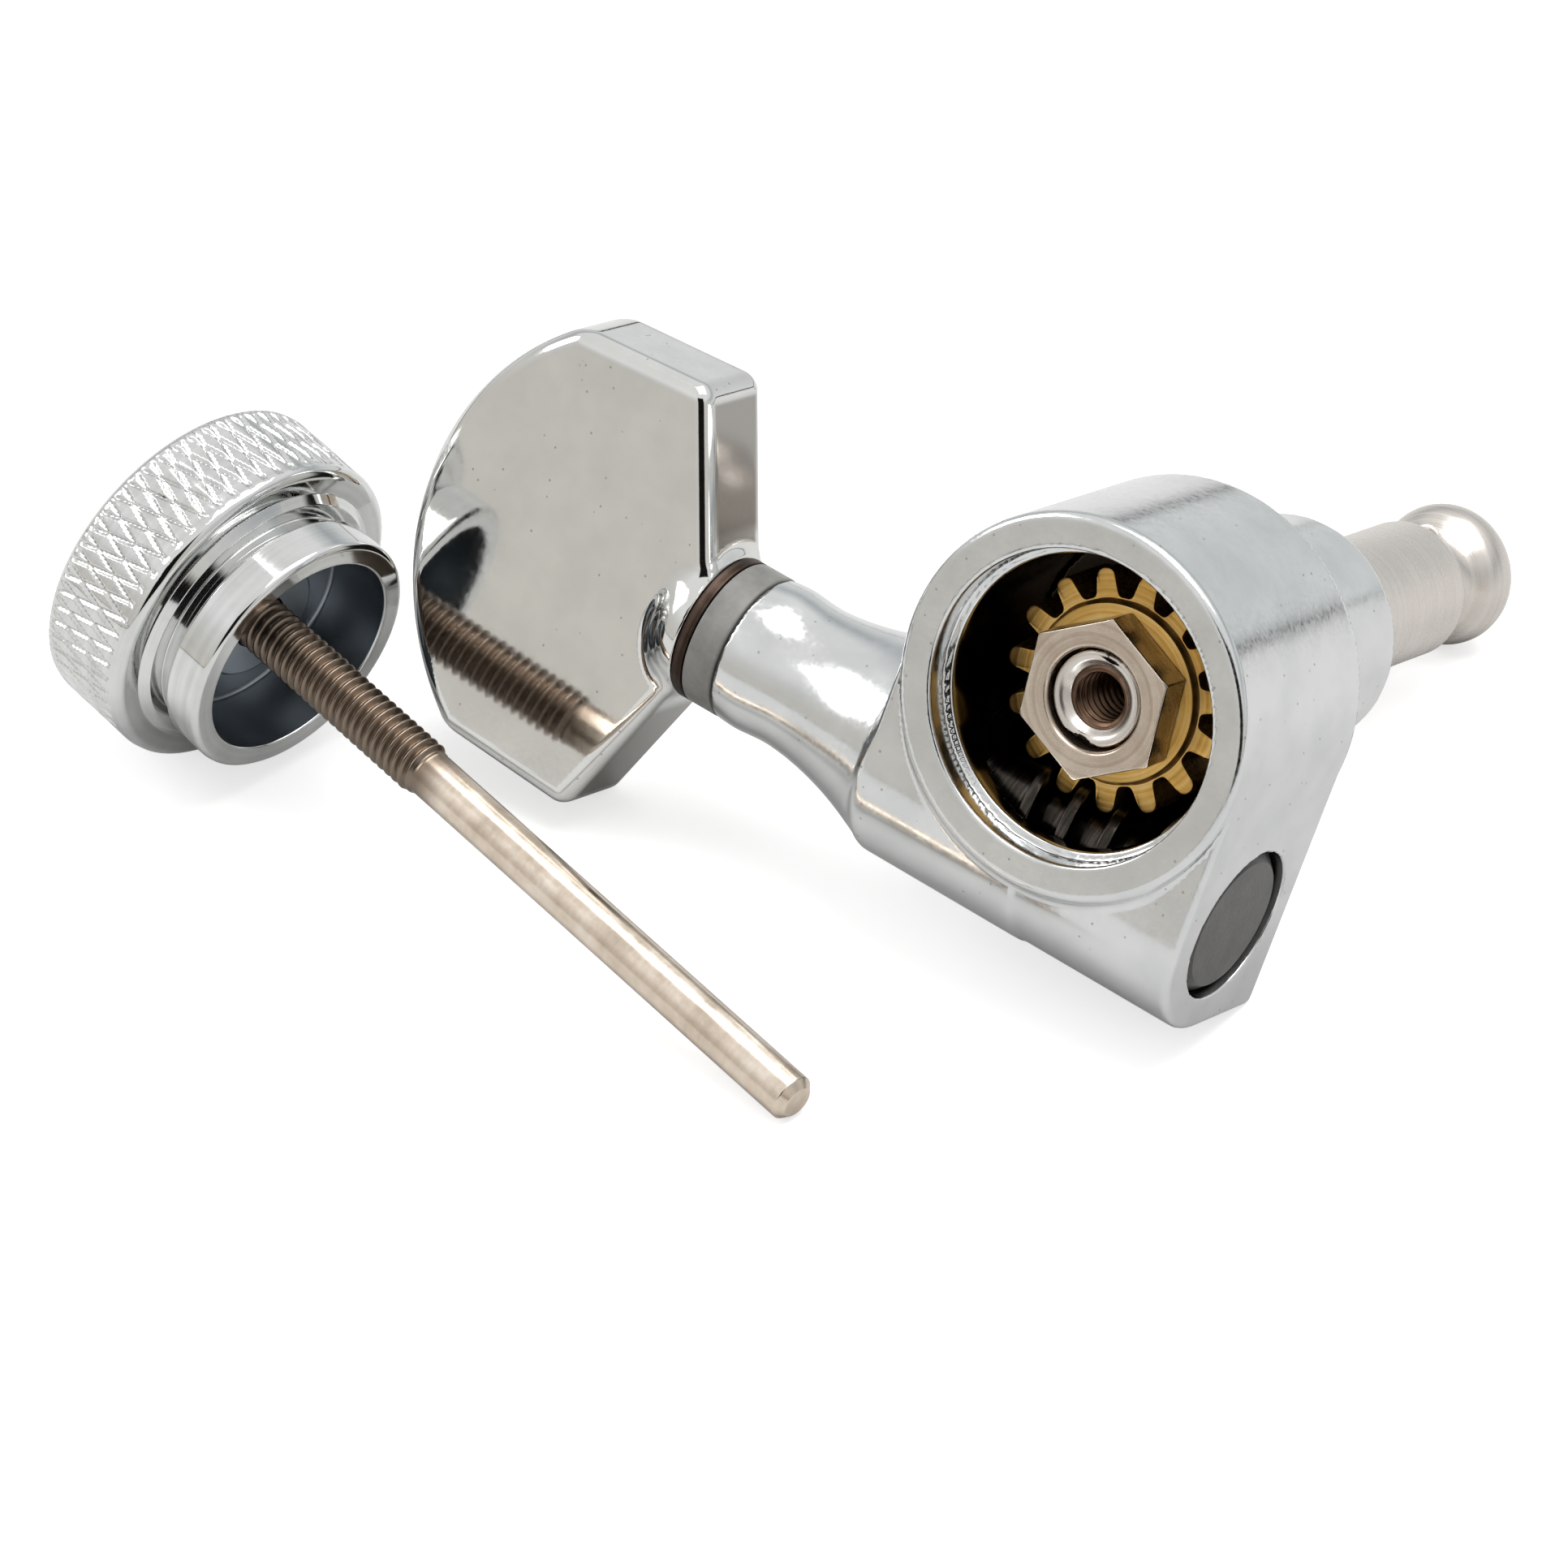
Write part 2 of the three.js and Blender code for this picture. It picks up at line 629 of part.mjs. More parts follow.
// Thrust washer between the wheel and the case's floor.
function wheelWasher() {
  return turned(
    ring(
      POST_RADIUS + RUN_GAP,
      WHEEL_WASHER_RADIUS,
      CASE_FLOOR_AT - FACE_GAP - WASHER_THICKNESS,
      CASE_FLOOR_AT - FACE_GAP,
    ),
  );
}

// Turn from straight down to the wheel's nearest tooth gap, where the worm's crest is to stand.
function gapAtWorm() {
  const pitch = (2 * Math.PI) / WHEEL_TEETH;
  const first = degToRad(WHEEL_PHASE) + pitch / 2 + Math.PI / 2;
  return first - pitch * Math.round(first / pitch);
}

// Helical thread of the worm, its flanks carried on down into the core: one ribbon with closed ends.
// Its steps stand on the corners of the core's facets.
function wormThread() {
  const crestAtTop = WHEEL_PITCH_RADIUS * gapAtWorm();
  const run = (WORM_LENGTH - WORM_LEAD) / 2;
  const step = WORM_LEAD / WORM_FACETS;
  const first = Math.ceil((-run - crestAtTop) / step);
  const steps = Math.floor((run - crestAtTop) / step) - first;
  const root = WORM_CORE_RADIUS / 2;
  const slope = (WORM_ROOT_HALF - WORM_CREST_HALF) / (WORM_RADIUS - WORM_CORE_RADIUS);
  const rootHalf = WORM_CREST_HALF + slope * (WORM_RADIUS - root);
  const section = [
    [root, -rootHalf],
    [WORM_RADIUS, -WORM_CREST_HALF],
    [WORM_RADIUS, WORM_CREST_HALF],
    [root, rootHalf],
  ];
  const positions = [];
  for (let i = first; i <= first + steps; i += 1) {
    const along = crestAtTop + step * i;
    const turn = Math.PI / 2 + (2 * Math.PI * i) / WORM_FACETS;
    for (const [radius, offset] of section)
      positions.push(along + offset, radius * Math.cos(turn), radius * Math.sin(turn));
  }
  const side = section.length;
  const last = side * steps;
  const index = [0, 2, 1, 0, 3, 2, last, last + 1, last + 2, last, last + 2, last + 3];
  for (let i = 0; i < last; i += side)
    for (let j = 0; j < side; j += 1) {
      const k = (j + 1) % side;
      index.push(i + j, i + k, i + side + j, i + k, i + side + k, i + side + j);
    }
  const geometry = new THREE.BufferGeometry();
  geometry.setAttribute("position", new THREE.Float32BufferAttribute(positions, 3));
  geometry.setIndex(index);
  return solidOf(geometry).translate([0, WORM_DEPTH, -WORM_DROP]);
}

// Worm shaft: journal, worm, plain shaft through the neck, flatted and tapped end in the button.
function wormShaft() {
  const journalEnd = PLUG_FACE - PLUG_LENGTH + JOURNAL_IN_PLUG - FACE_GAP;
  const wormHalf = WORM_LENGTH / 2;
  const core = turnedOnWorm(
    [
      [0, SHAFT_END],
      [SHAFT_END_RADIUS - SHAFT_FLAT, SHAFT_END],
      [SHAFT_END_RADIUS, SHAFT_END + SHAFT_FLAT],
      [SHAFT_END_RADIUS, HUB_FACE + FACE_GAP],
      [SHAFT_RADIUS, HUB_FACE + FACE_GAP],
      [SHAFT_RADIUS, -wormHalf],
      [WORM_CORE_RADIUS, -wormHalf],
      [WORM_CORE_RADIUS, wormHalf],
      [JOURNAL_RADIUS, wormHalf],
      [JOURNAL_RADIUS, journalEnd],
      [0, journalEnd],
    ],
    WORM_FACETS,
  );
  const reach = 2 * SHAFT_END_RADIUS;
  const halfFlat = SHAFT_END_RADIUS - SHAFT_FLAT;
  const flats = [1, -1].map((side) =>
    prismOnX(
      [
        [side * halfFlat, -reach],
        [side * reach, -reach],
        [side * reach, reach],
        [side * halfFlat, reach],
      ],
      SHAFT_END - FACE_GAP,
      HUB_FACE,
    ).translate([0, WORM_DEPTH, -WORM_DROP]),
  );
  const tap = turnedOnWorm(
    rod(SCREW_RADIUS + PRESS_GAP, SHAFT_END - SHAFT_TAP_DEPTH, SHAFT_END + SHAFT_TAP_DEPTH),
    SMALL_FACETS,
  );
  return core.add(wormThread()).subtract(flats[0]).subtract(flats[1]).subtract(tap);
}

// Thrust washer at one end of the worm: 1 towards the plug, -1 towards the neck.
function wormWasher(side) {
  const inner = side > 0 ? PLUG_FACE - PLUG_LENGTH - FACE_GAP : WORM_BORE_END + FACE_GAP;
  const hole = side > 0 ? JOURNAL_RADIUS : SHAFT_RADIUS;
  return turnedOnWorm(
    ring(
      hole + RUN_GAP,
      WORM_BORE_RADIUS - PRESS_GAP,
      side > 0 ? inner - WASHER_THICKNESS : inner,
      side > 0 ? inner : inner + WASHER_THICKNESS,
    ),
    SMALL_FACETS,
  );
}

// Plug pressed into the end of the tube, with a blind bearing for the worm's journal.
function endPlug() {
  const inner = PLUG_FACE - PLUG_LENGTH;
  const radius = WORM_BORE_RADIUS - PRESS_GAP;
  const blank = turnedOnWorm(rod(radius, inner, PLUG_FACE, 0, PLUG_CHAMFER));
  const bearing = turnedOnWorm(
    rod(JOURNAL_RADIUS + RUN_GAP, inner - FACE_GAP, inner + JOURNAL_IN_PLUG),
    SMALL_FACETS,
  );
  return blank.subtract(bearing);
}

// Grey polymer spacer between the neck and the spring washer.
function neckSpacer() {
  return turnedOnWorm(
    ring(SHAFT_RADIUS + RUN_GAP, NECK_RADIUS, SPACER_END, SPACER_END + SPACER_THICKNESS),
  );
}

// Thin spring washer that loads the button against the neck.
function springWasher() {
  const rear = HUB_FACE + FACE_GAP;
  return turnedOnWorm(ring(SHAFT_RADIUS + RUN_GAP, NECK_RADIUS, rear, rear + SPRING_THICKNESS));
}

// Die-cast button: half-moon plate with rounded edges and a domed hub, bored through for its screw.
function button() {
  const flat = HUB_FACE - BUTTON_FLAT;
  const inner = HUB_FACE - BUTTON_INNER;
  const outer = HUB_FACE - BUTTON_OUTER;
  const rise = outer - BUTTON_ARC_END;
  const arcRadius = (BUTTON_OUTER_HALF_SPAN ** 2 + rise ** 2) / (2 * rise);
  const upper = [
    [flat, BUTTON_FLAT_HALF_SPAN, BUTTON_FLAT_ROUND],
    [inner, BUTTON_HALF_SPAN, BUTTON_CORNER_ROUND],
    [outer, BUTTON_OUTER_HALF_SPAN, BUTTON_CORNER_ROUND],
  ];
  const lower = upper.map(([x, y, radius]) => [x, -y, radius]).reverse();
  const arc = arcPoints(
    new THREE.Vector2(BUTTON_ARC_END + arcRadius, 0),
    new THREE.Vector2(outer, BUTTON_OUTER_HALF_SPAN),
    new THREE.Vector2(outer, -BUTTON_OUTER_HALF_SPAN),
    arcRadius,
    SMALL_FACETS / 2,
  );
  const sampled = arc.slice(1, -1).map(({ x, y }) => [x, y, 0]);
  const shape = new THREE.Shape(roundedOutline([...upper, ...sampled, ...lower], ROUND_STEPS));
  const plateGeometry = new THREE.ExtrudeGeometry(shape, {
    depth: BUTTON_THICKNESS - 2 * BUTTON_ROUND,
    bevelThickness: BUTTON_ROUND,
    bevelSize: BUTTON_ROUND,
    bevelOffset: -BUTTON_ROUND,
    bevelSegments: ROUND_STEPS,
  });
  const plate = solidOf(plateGeometry)
    .translate([0, 0, BUTTON_ROUND - BUTTON_THICKNESS / 2])
    .rotate([90, 0, 0])
    .translate([0, WORM_DEPTH, -WORM_DROP]);
  const hub = turnedOnWorm([
    [0, HUB_FACE - HUB_LENGTH],
    ...quarterRound(
      [0, HUB_FACE - HUB_LENGTH],
      [HUB_RADIUS, HUB_FACE - HUB_LENGTH],
      [HUB_RADIUS, HUB_FACE - BUTTON_FLAT],
      2 * ROUND_STEPS,
    ).slice(1),
    [HUB_RADIUS, HUB_FACE],
    [0, HUB_FACE],
  ]);
  const seatEnd = SHAFT_END - FACE_GAP;
  const bore = turnedOnWorm(
    [
      [0, BUTTON_ARC_END - BUTTON_ROUND],
      [SCREW_HEAD_RADIUS + RUN_GAP, BUTTON_ARC_END - BUTTON_ROUND],
      [SCREW_HEAD_RADIUS + RUN_GAP, SCREW_SEAT_AT],
      [SCREW_RADIUS + RUN_GAP, SCREW_SEAT_AT],
      [SCREW_RADIUS + RUN_GAP, seatEnd],
      [SHAFT_END_RADIUS + PRESS_GAP, seatEnd],
      [SHAFT_END_RADIUS + PRESS_GAP, HUB_FACE + BUTTON_ROUND],
      [0, HUB_FACE + BUTTON_ROUND],
    ],
    SMALL_FACETS,
  );
  return plate.add(hub).subtract(bore);
}

// Button screw: slotted cheese head in the arc, shank into the shaft's tapped end.
function buttonScrew() {
  const shankEnd = SHAFT_END + SHAFT_TAP_DEPTH - 2 * FACE_GAP;
  const body = turnedOnWorm(
    [
      [0, SCREW_HEAD_AT],
      [SCREW_HEAD_RADIUS, SCREW_HEAD_AT],
      [SCREW_HEAD_RADIUS, SCREW_HEAD_AT + SCREW_HEAD_HEIGHT],
      [SCREW_RADIUS, SCREW_HEAD_AT + SCREW_HEAD_HEIGHT],
      [SCREW_RADIUS, shankEnd],
      [0, shankEnd],
    ],
    SMALL_FACETS,
  );
  const slot = prismOnX(
    [
      [-SCREW_SLOT_WIDTH / 2, -CASE_RADIUS],
      [SCREW_SLOT_WIDTH / 2, -CASE_RADIUS],
      [SCREW_SLOT_WIDTH / 2, CASE_RADIUS],
      [-SCREW_SLOT_WIDTH / 2, CASE_RADIUS],
    ],
    SCREW_HEAD_AT - SCREW_SLOT_DEPTH,
    SCREW_HEAD_AT + SCREW_SLOT_DEPTH,
  ).translate([0, WORM_DEPTH, -WORM_DROP]);
  return body.subtract(slot);
}

// Washer under the button screw's head.
function screwWasher() {
  const end = SCREW_WASHER_AT + SCREW_WASHER_THICKNESS;
  return turnedOnWorm(
    ring(SCREW_RADIUS + RUN_GAP, SCREW_HEAD_RADIUS, SCREW_WASHER_AT, end),
    SMALL_FACETS,
  );
}

// Locking knob about Y from its rear face at y = 0: wheel, ring, groove and hollow spigot.
function lockKnob() {
  const grooveStart = KNOB_LENGTH + KNOB_RING_LENGTH;
  const grooveEnd = grooveStart + KNOB_GROOVE_LENGTH;
  const floor = SPIGOT_END - SPIGOT_BORE_DEPTH;
  return turned(
    [
      [0, KNOB_DISH_DEPTH],
      [KNOB_DISH_RADIUS - KNOB_DISH_DEPTH, KNOB_DISH_DEPTH],
      [KNOB_DISH_RADIUS, 0],
      ...quarterRound([KNOB_RADIUS - KNOB_REAR_ROUND, 0], [KNOB_RADIUS, 0], [
        KNOB_RADIUS,
        KNOB_REAR_ROUND,
      ]),
      ...quarterRound([KNOB_RADIUS, KNOB_LENGTH - KNOB_FRONT_ROUND], [KNOB_RADIUS, KNOB_LENGTH], [
        KNOB_RADIUS - KNOB_FRONT_ROUND,
        KNOB_LENGTH,
      ]),
      [KNOB_RING_RADIUS, KNOB_LENGTH],
      [KNOB_RING_RADIUS - KNOB_RING_LENGTH, grooveStart],
      [KNOB_GROOVE_RADIUS, grooveStart],
      [KNOB_GROOVE_RADIUS, grooveEnd],
      [SPIGOT_RADIUS - SPIGOT_ROUND, grooveEnd],
      [SPIGOT_RADIUS, grooveEnd + SPIGOT_ROUND],
      ...quarterRound([SPIGOT_RADIUS, SPIGOT_END - SPIGOT_ROUND], [SPIGOT_RADIUS, SPIGOT_END], [
        SPIGOT_RADIUS - SPIGOT_ROUND,
        SPIGOT_END,
      ]),
      [SPIGOT_BORE_RADIUS, SPIGOT_END],
      [SPIGOT_BORE_RADIUS, floor],
      [KNOB_BOSS_RADIUS, floor],
      [KNOB_BOSS_RADIUS, floor + KNOB_BOSS_HEIGHT],
      [PIN_THREAD_RADIUS + PRESS_GAP, floor + KNOB_BOSS_HEIGHT],
      [PIN_THREAD_RADIUS + PRESS_GAP, KNOB_SOCKET_FLOOR],
      [0, KNOB_SOCKET_FLOOR],
    ],
    ROUND_FACETS,
  );
}

// Locking pin about Y: threaded root fixed in the knob, neck, smooth pin with a chamfered tip.
function lockPin() {
  return turned(
    [
      [0, KNOB_SOCKET_FLOOR + FACE_GAP],
      [PIN_THREAD_RADIUS, KNOB_SOCKET_FLOOR + FACE_GAP],
      [PIN_THREAD_RADIUS, PIN_THREAD_END],
      [PIN_RADIUS, PIN_NECK_END],
      [PIN_RADIUS, PIN_LENGTH - PIN_TIP_CHAMFER],
      [PIN_RADIUS - PIN_TIP_CHAMFER, PIN_LENGTH],
      [0, PIN_LENGTH],
    ],
    SMALL_FACETS,
  );
}

// One node: a named mesh with its own material.
function node(name, solid, colour, roughness, metalness) {
  const material = new THREE.MeshStandardMaterial({ color: colour, roughness, metalness });
  const mesh = new THREE.Mesh(geometryOf(solid), material);
  mesh.name = name;
  return mesh;
}

const chrome = (name, solid) => node(name, solid, 0xc9cac8, 0.12, 1);
const nickel = (name, solid) => node(name, solid, 0xcbc3bd, 0.32, 1);
const brass = (name, solid) => node(name, solid, 0xb98f4a, 0.38, 1);
const darkSteel = (name, solid) => node(name, solid, 0x2e2d2c, 0.4, 1);
const brightSteel = (name, solid) => node(name, solid, 0xa9a7a3, 0.35, 1);
const tarnishedNickel = (name, solid) => node(name, solid, 0xb5a798, 0.3, 1);
const darkPolymer = (name, solid) => node(name, solid, 0x4b4a48, 0.5, 0);
const greyPolymer = (name, solid) => node(name, solid, 0x787774, 0.45, 0);
const brownSteel = (name, solid) => node(name, solid, 0x3b322c, 0.5, 1);
const palePolymer = (name, solid) => node(name, solid, 0xd8d3c6, 0.5, 0);

// Every piece of the tuner in the tuner's own frame.
function tunerPieces() {
  return [
    chrome("housing", housing()),
    brightSteel("locating_pin_left", locatingPin(-1)),
    brightSteel("locating_pin_right", locatingPin(1)),
    palePolymer("post_bush", postBush()),
    nickel("string_post", stringPost()),
    brass("worm_wheel", wormWheel()),
    nickel("wheel_nut", wheelNut()),
    brightSteel("wheel_washer", wheelWasher()),
    darkSteel("worm_shaft", wormShaft()),
    brightSteel("worm_washer_neck", wormWasher(-1)),
    brightSteel("worm_washer_plug", wormWasher(1)),
    darkPolymer("end_plug", endPlug()),
    greyPolymer("neck_spacer", neckSpacer()),
    brownSteel("spring_washer", springWasher()),
    chrome("button", button()),
    palePolymer("screw_washer", screwWasher()),
    nickel("button_screw", buttonScrew()),
  ];
}

// Lowest corner of a piece, for an upward direction.
function lowestCorner(piece, up) {
  const corners = piece.geometry.attributes.position;
  const lowest = new THREE.Vector3().fromBufferAttribute(corners, 0);
  const corner = new THREE.Vector3();
  for (let i = 1; i < corners.count; i += 1) {
    corner.fromBufferAttribute(corners, i);
    if (corner.dot(up) < lowest.dot(up)) lowest.copy(corner);
  }
  return lowest;
}

// Turn that lays the tuner on the housing's block, the button's corner and the post's head.
function tunerRest(group) {
  const feet = ["housing", "button", "string_post"].map((name) => group.getObjectByName(name));
  const up = new THREE.Vector3(0, -REST_LEAN, 1).normalize();
  for (let i = 0; i < REST_STEPS; i += 1) {
    const [block, corner, head] = feet.map((piece) => lowestCorner(piece, up));
    up.crossVectors(corner.sub(block), head.sub(block)).normalize();
    if (up.z < 0) up.negate();
  }
  const along = new THREE.Vector3(1, 0, 0).addScaledVector(up, -up.x).normalize();
  const across = new THREE.Vector3().crossVectors(up, along);
  return new THREE.Matrix4().makeBasis(along, across, up).transpose();
}

// Tuner laid on the table.
function tuner() {
  const group = new THREE.Group();
  group.name = "tuner";
  group.add(...tunerPieces());
  group.applyMatrix4(tunerRest(group));
  group.updateMatrixWorld(true);
  group.position.z -= new THREE.Box3().setFromObject(group, true).min.z;
  return group;
}

// Knob and pin laid on the wheel's front rim and the pin's tip, heading roughly along +X.
function knobAndPin() {
  const group = new THREE.Group();
  group.name = "knob_and_pin";
  group.add(chrome("lock_knob", lockKnob()), tarnishedNickel("lock_pin", lockPin()));
  const reach = PIN_LENGTH - PIN_TIP_CHAMFER - (KNOB_LENGTH - KNOB_FRONT_ROUND);
  const dip = Math.atan2(KNOB_RADIUS - PIN_RADIUS, reach);
  group.rotation.set(0, 0, degToRad(KNOB_HEADING) - Math.PI / 2);
  group.rotation.order = "ZXY";
  group.rotation.x = -dip;
  group.position.set(KNOB_AT_X, KNOB_AT_Y, 0);
  group.updateMatrixWorld(true);
  group.position.z -= new THREE.Box3().setFromObject(group, true).min.z;
  return group;
}

const part = new THREE.Group();
part.name = "guitar_tuning_machine";
part.add(tuner(), knobAndPin());
part.updateMatrixWorld(true);
const box = new THREE.Box3().setFromObject(part, true);
const centre = box.getCenter(new THREE.Vector3());
part.position.set(-centre.x, -centre.y, 0);
part.updateMatrixWorld(true);

export default part;
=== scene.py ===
import json
import math

import bmesh
import bpy
import numpy as np
from mathutils import Matrix, Vector


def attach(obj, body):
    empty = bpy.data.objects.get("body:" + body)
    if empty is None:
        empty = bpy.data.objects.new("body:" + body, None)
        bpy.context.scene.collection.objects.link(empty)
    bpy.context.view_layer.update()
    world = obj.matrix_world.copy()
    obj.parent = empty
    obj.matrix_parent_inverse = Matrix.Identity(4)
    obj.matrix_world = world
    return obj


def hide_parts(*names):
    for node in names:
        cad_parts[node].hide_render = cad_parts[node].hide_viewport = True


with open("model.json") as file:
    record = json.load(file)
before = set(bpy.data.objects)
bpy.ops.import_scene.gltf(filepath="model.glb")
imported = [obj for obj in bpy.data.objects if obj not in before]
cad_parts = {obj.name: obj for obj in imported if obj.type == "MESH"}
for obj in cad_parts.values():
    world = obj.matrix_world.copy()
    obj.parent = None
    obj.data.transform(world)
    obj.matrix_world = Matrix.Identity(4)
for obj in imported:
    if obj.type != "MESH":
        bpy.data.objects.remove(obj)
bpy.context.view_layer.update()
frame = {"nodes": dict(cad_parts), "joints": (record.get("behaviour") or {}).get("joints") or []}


# Where the pieces lie. The tuner keeps its own frame, in millimetres: the worm's axis runs along X,
# the string post's along Y, and Z goes from the worm up to the post. Both axes come from the packed
# joints. The knob lies beside the tuner, its wheel's front rim and its pin's tip on the table.
joints = {joint["name"]: joint for joint in frame["joints"]}
tuner_x = np.array(joints["worm_spin"]["axis"])
tuner_y = np.array(joints["post_spin"]["axis"])
tuner_turn = np.stack([tuner_x, tuner_y, np.cross(tuner_x, tuner_y)])
POST_JOINT_AT = 15.0
tuner_foot = np.array(joints["post_spin"]["pos_m"]) - 0.001 * POST_JOINT_AT * tuner_y
WORM_DEPTH, WORM_DROP = 5.4, 7.05
KNOB_FOOT = np.array([-24.566, -15.359, 8.29])
KNOB_HEADING, KNOB_DIP = math.radians(-10), math.radians(10.6562)


def on_tuner(points):
    """Tuner millimetres to metres in the shared frame: a turn onto the two axes and a shift."""
    return tuner_foot + 0.001 * (points @ tuner_turn)


def axle(foot, along, up):
    """A line to turn shapes on, in metres: its foot, its direction and two directions square to it.
    Angles are measured from the third towards the fourth."""
    side = np.cross(along, up)
    side = side / np.linalg.norm(side)
    return foot, along, np.cross(side, along), side


post_line = axle(tuner_foot, tuner_turn[1], tuner_turn[2])
worm_line = axle(on_tuner(np.array([0, WORM_DEPTH, -WORM_DROP])), tuner_turn[0], tuner_turn[2])
pin_along = np.array(
    [
        math.cos(KNOB_DIP) * math.cos(KNOB_HEADING),
        math.cos(KNOB_DIP) * math.sin(KNOB_HEADING),
        -math.sin(KNOB_DIP),
    ]
)
pin_line = axle(0.001 * KNOB_FOOT, pin_along, np.array([0.0, 0.0, 1.0]))


# Table, room, lamps and camera: a white laminate table top in a pale room under a soft box. Polished
# metal sees warm grey walls level with the table, dark under the table's edge and white overhead.
def linear(colour):
    """sRGB hex to linear RGBA."""
    parts = [int(colour[i : i + 2], 16) / 255 for i in (1, 3, 5)]
    return [p / 12.92 if p <= 0.04045 else ((p + 0.055) / 1.055) ** 2.4 for p in parts] + [1.0]


def add(tree, kind, settings=None, **inputs):
    """One node, its settings, and its inputs by name or _number, as values or as outputs to link."""
    made = tree.nodes.new("ShaderNode" + kind)
    for key, value in (settings or {}).items():
        setattr(made, key, value)
    for key, value in inputs.items():
        socket = made.inputs[int(key[1:]) if key[0] == "_" else key.replace("_", " ")]
        if isinstance(value, bpy.types.NodeSocket):
            tree.links.new(value, socket)
        else:
            socket.default_value = value
    return made


def shades(tree, factor, stops):
    """Colour ramp over (place, colour) stops."""
    made = add(tree, "ValToRGB", _0=factor)
    elements = made.color_ramp.elements
    while len(elements) < len(stops):
        elements.new(1)
    for element, (place, colour) in zip(elements, stops):
        element.position, element.color = place, linear(colour)
    return made.outputs[0]


world = bpy.data.worlds.new("pale_room")
bpy.context.scene.world = world
world.use_nodes = True
tree = world.node_tree
tree.nodes.clear()
look = add(tree, "SeparateXYZ", _0=add(tree, "TexCoord").outputs["Generated"])
# Half the look's height plus a half: the ramps' middle is the horizon. Below it is the dark under the
# table's edge, then come the walls, and from 0.8 up the white ceiling.
rise = add(tree, "Math", {"operation": "MULTIPLY_ADD"}, _0=look.outputs["Z"], _1=0.5, _2=0.5)
front_wall = shades(
    tree,
    rise.outputs[0],
    [
        (0.0, "#1d1b19"),
        (0.484, "#1d1b19"),
        (0.49, "#dcd8d1"),
        (0.56, "#d8d5cf"),
        (0.66, "#e0dfdc"),
        (0.8, "#f8f8f8"),
        (1.0, "#f2f2f0"),
    ],
)
back_wall = shades(
    tree,
    rise.outputs[0],
    [
        (0.0, "#1d1b19"),
        (0.484, "#1d1b19"),
        (0.49, "#ecefef"),
        (0.58, "#dfe2e2"),
        (0.68, "#bcc0c3"),
        (0.8, "#f6f6f6"),
        (1.0, "#f2f2f0"),
    ],
)
depth = add(
    tree,
    "MapRange",
    {"interpolation_type": "SMOOTHSTEP"},
    Value=look.outputs["Y"],
    From_Min=-0.3,
    From_Max=0.3,
)
walls = add(tree, "MixRGB", Fac=depth.outputs[0], Color1=front_wall, Color2=back_wall)
# A dark stand rises from the horizon in front, a little to the right. Rounded edges show it as the
# thin black lines that run along them. Its half width and its top are shares of a look's length.
STAND_AHEAD, STAND_ACROSS = (0.605, -0.796, 0.0), (0.796, 0.605, 0.0)
STAND_HALF, STAND_HALF_FADED, STAND_TOP, STAND_TOP_FADE = 0.28, 0.36, 0.7, 0.05
direction = look.inputs[0].links[0].from_socket
ahead = add(tree, "VectorMath", {"operation": "DOT_PRODUCT"}, _0=direction, _1=STAND_AHEAD)
across = add(tree, "VectorMath", {"operation": "DOT_PRODUCT"}, _0=direction, _1=STAND_ACROSS)
across = add(tree, "Math", {"operation": "ABSOLUTE"}, _0=across.outputs["Value"])
stand = add(
    tree,
    "MapRange",
    Value=across.outputs[0],
    From_Min=STAND_HALF,
    From_Max=STAND_HALF_FADED,
    To_Min=1.0,
    To_Max=0.0,
).outputs[0]
for value, low, high in [
    (ahead.outputs["Value"], 0.0, 0.1),
    (look.outputs["Z"], STAND_TOP, STAND_TOP - STAND_TOP_FADE),
]:
    edge = add(tree, "MapRange", Value=value, From_Min=low, From_Max=high)
    stand = add(tree, "Math", {"operation": "MULTIPLY"}, _0=stand, _1=edge.outputs[0]).outputs[0]
walls = add(tree, "MixRGB", Fac=stand, Color1=walls.outputs[0], Color2=linear("#151413"))
# The soft sky lights the pieces, metal mirrors the walls, and the camera sees plain white.
SOFT_SKY = 0.66
rays = add(tree, "LightPath")
soft_sky = add(tree, "Background", Color=linear("#f7f7f7"), Strength=SOFT_SKY)
wall_sky = add(tree, "Background", Color=walls.outputs[0], Strength=1.0)
white_sky = add(tree, "Background", Color=linear("#ffffff"), Strength=1.0)
seen = add(
    tree,
    "MixShader",
    _0=rays.outputs["Is Glossy Ray"],
    _1=soft_sky.outputs[0],
    _2=wall_sky.outputs[0],
)
seen = add(
    tree,
    "MixShader",
    _0=rays.outputs["Is Camera Ray"],
    _1=seen.outputs[0],
    _2=white_sky.outputs[0],
)
add(tree, "OutputWorld", Surface=seen.outputs[0])

TABLE_RADIUS, TABLE_FACETS, TABLE_GLOW = 0.3, 128, 0.62
turns = np.linspace(0, 2 * math.pi, TABLE_FACETS, endpoint=False)
table_rim = np.stack([TABLE_RADIUS * np.cos(turns), TABLE_RADIUS * np.sin(turns), 0 * turns], -1)
table_mesh = bpy.data.meshes.new("table_top")
table_mesh.from_pydata(table_rim.tolist(), [], [list(range(TABLE_FACETS))])
table_top = bpy.data.objects.new("table_top", table_mesh)
bpy.context.scene.collection.objects.link(table_top)
laminate = bpy.data.materials.new("white_laminate")
laminate.use_nodes = True
tree = laminate.node_tree
tree.nodes.clear()
rays = add(tree, "LightPath")
matt = add(tree, "BsdfDiffuse", Color=linear("#cccccb"))
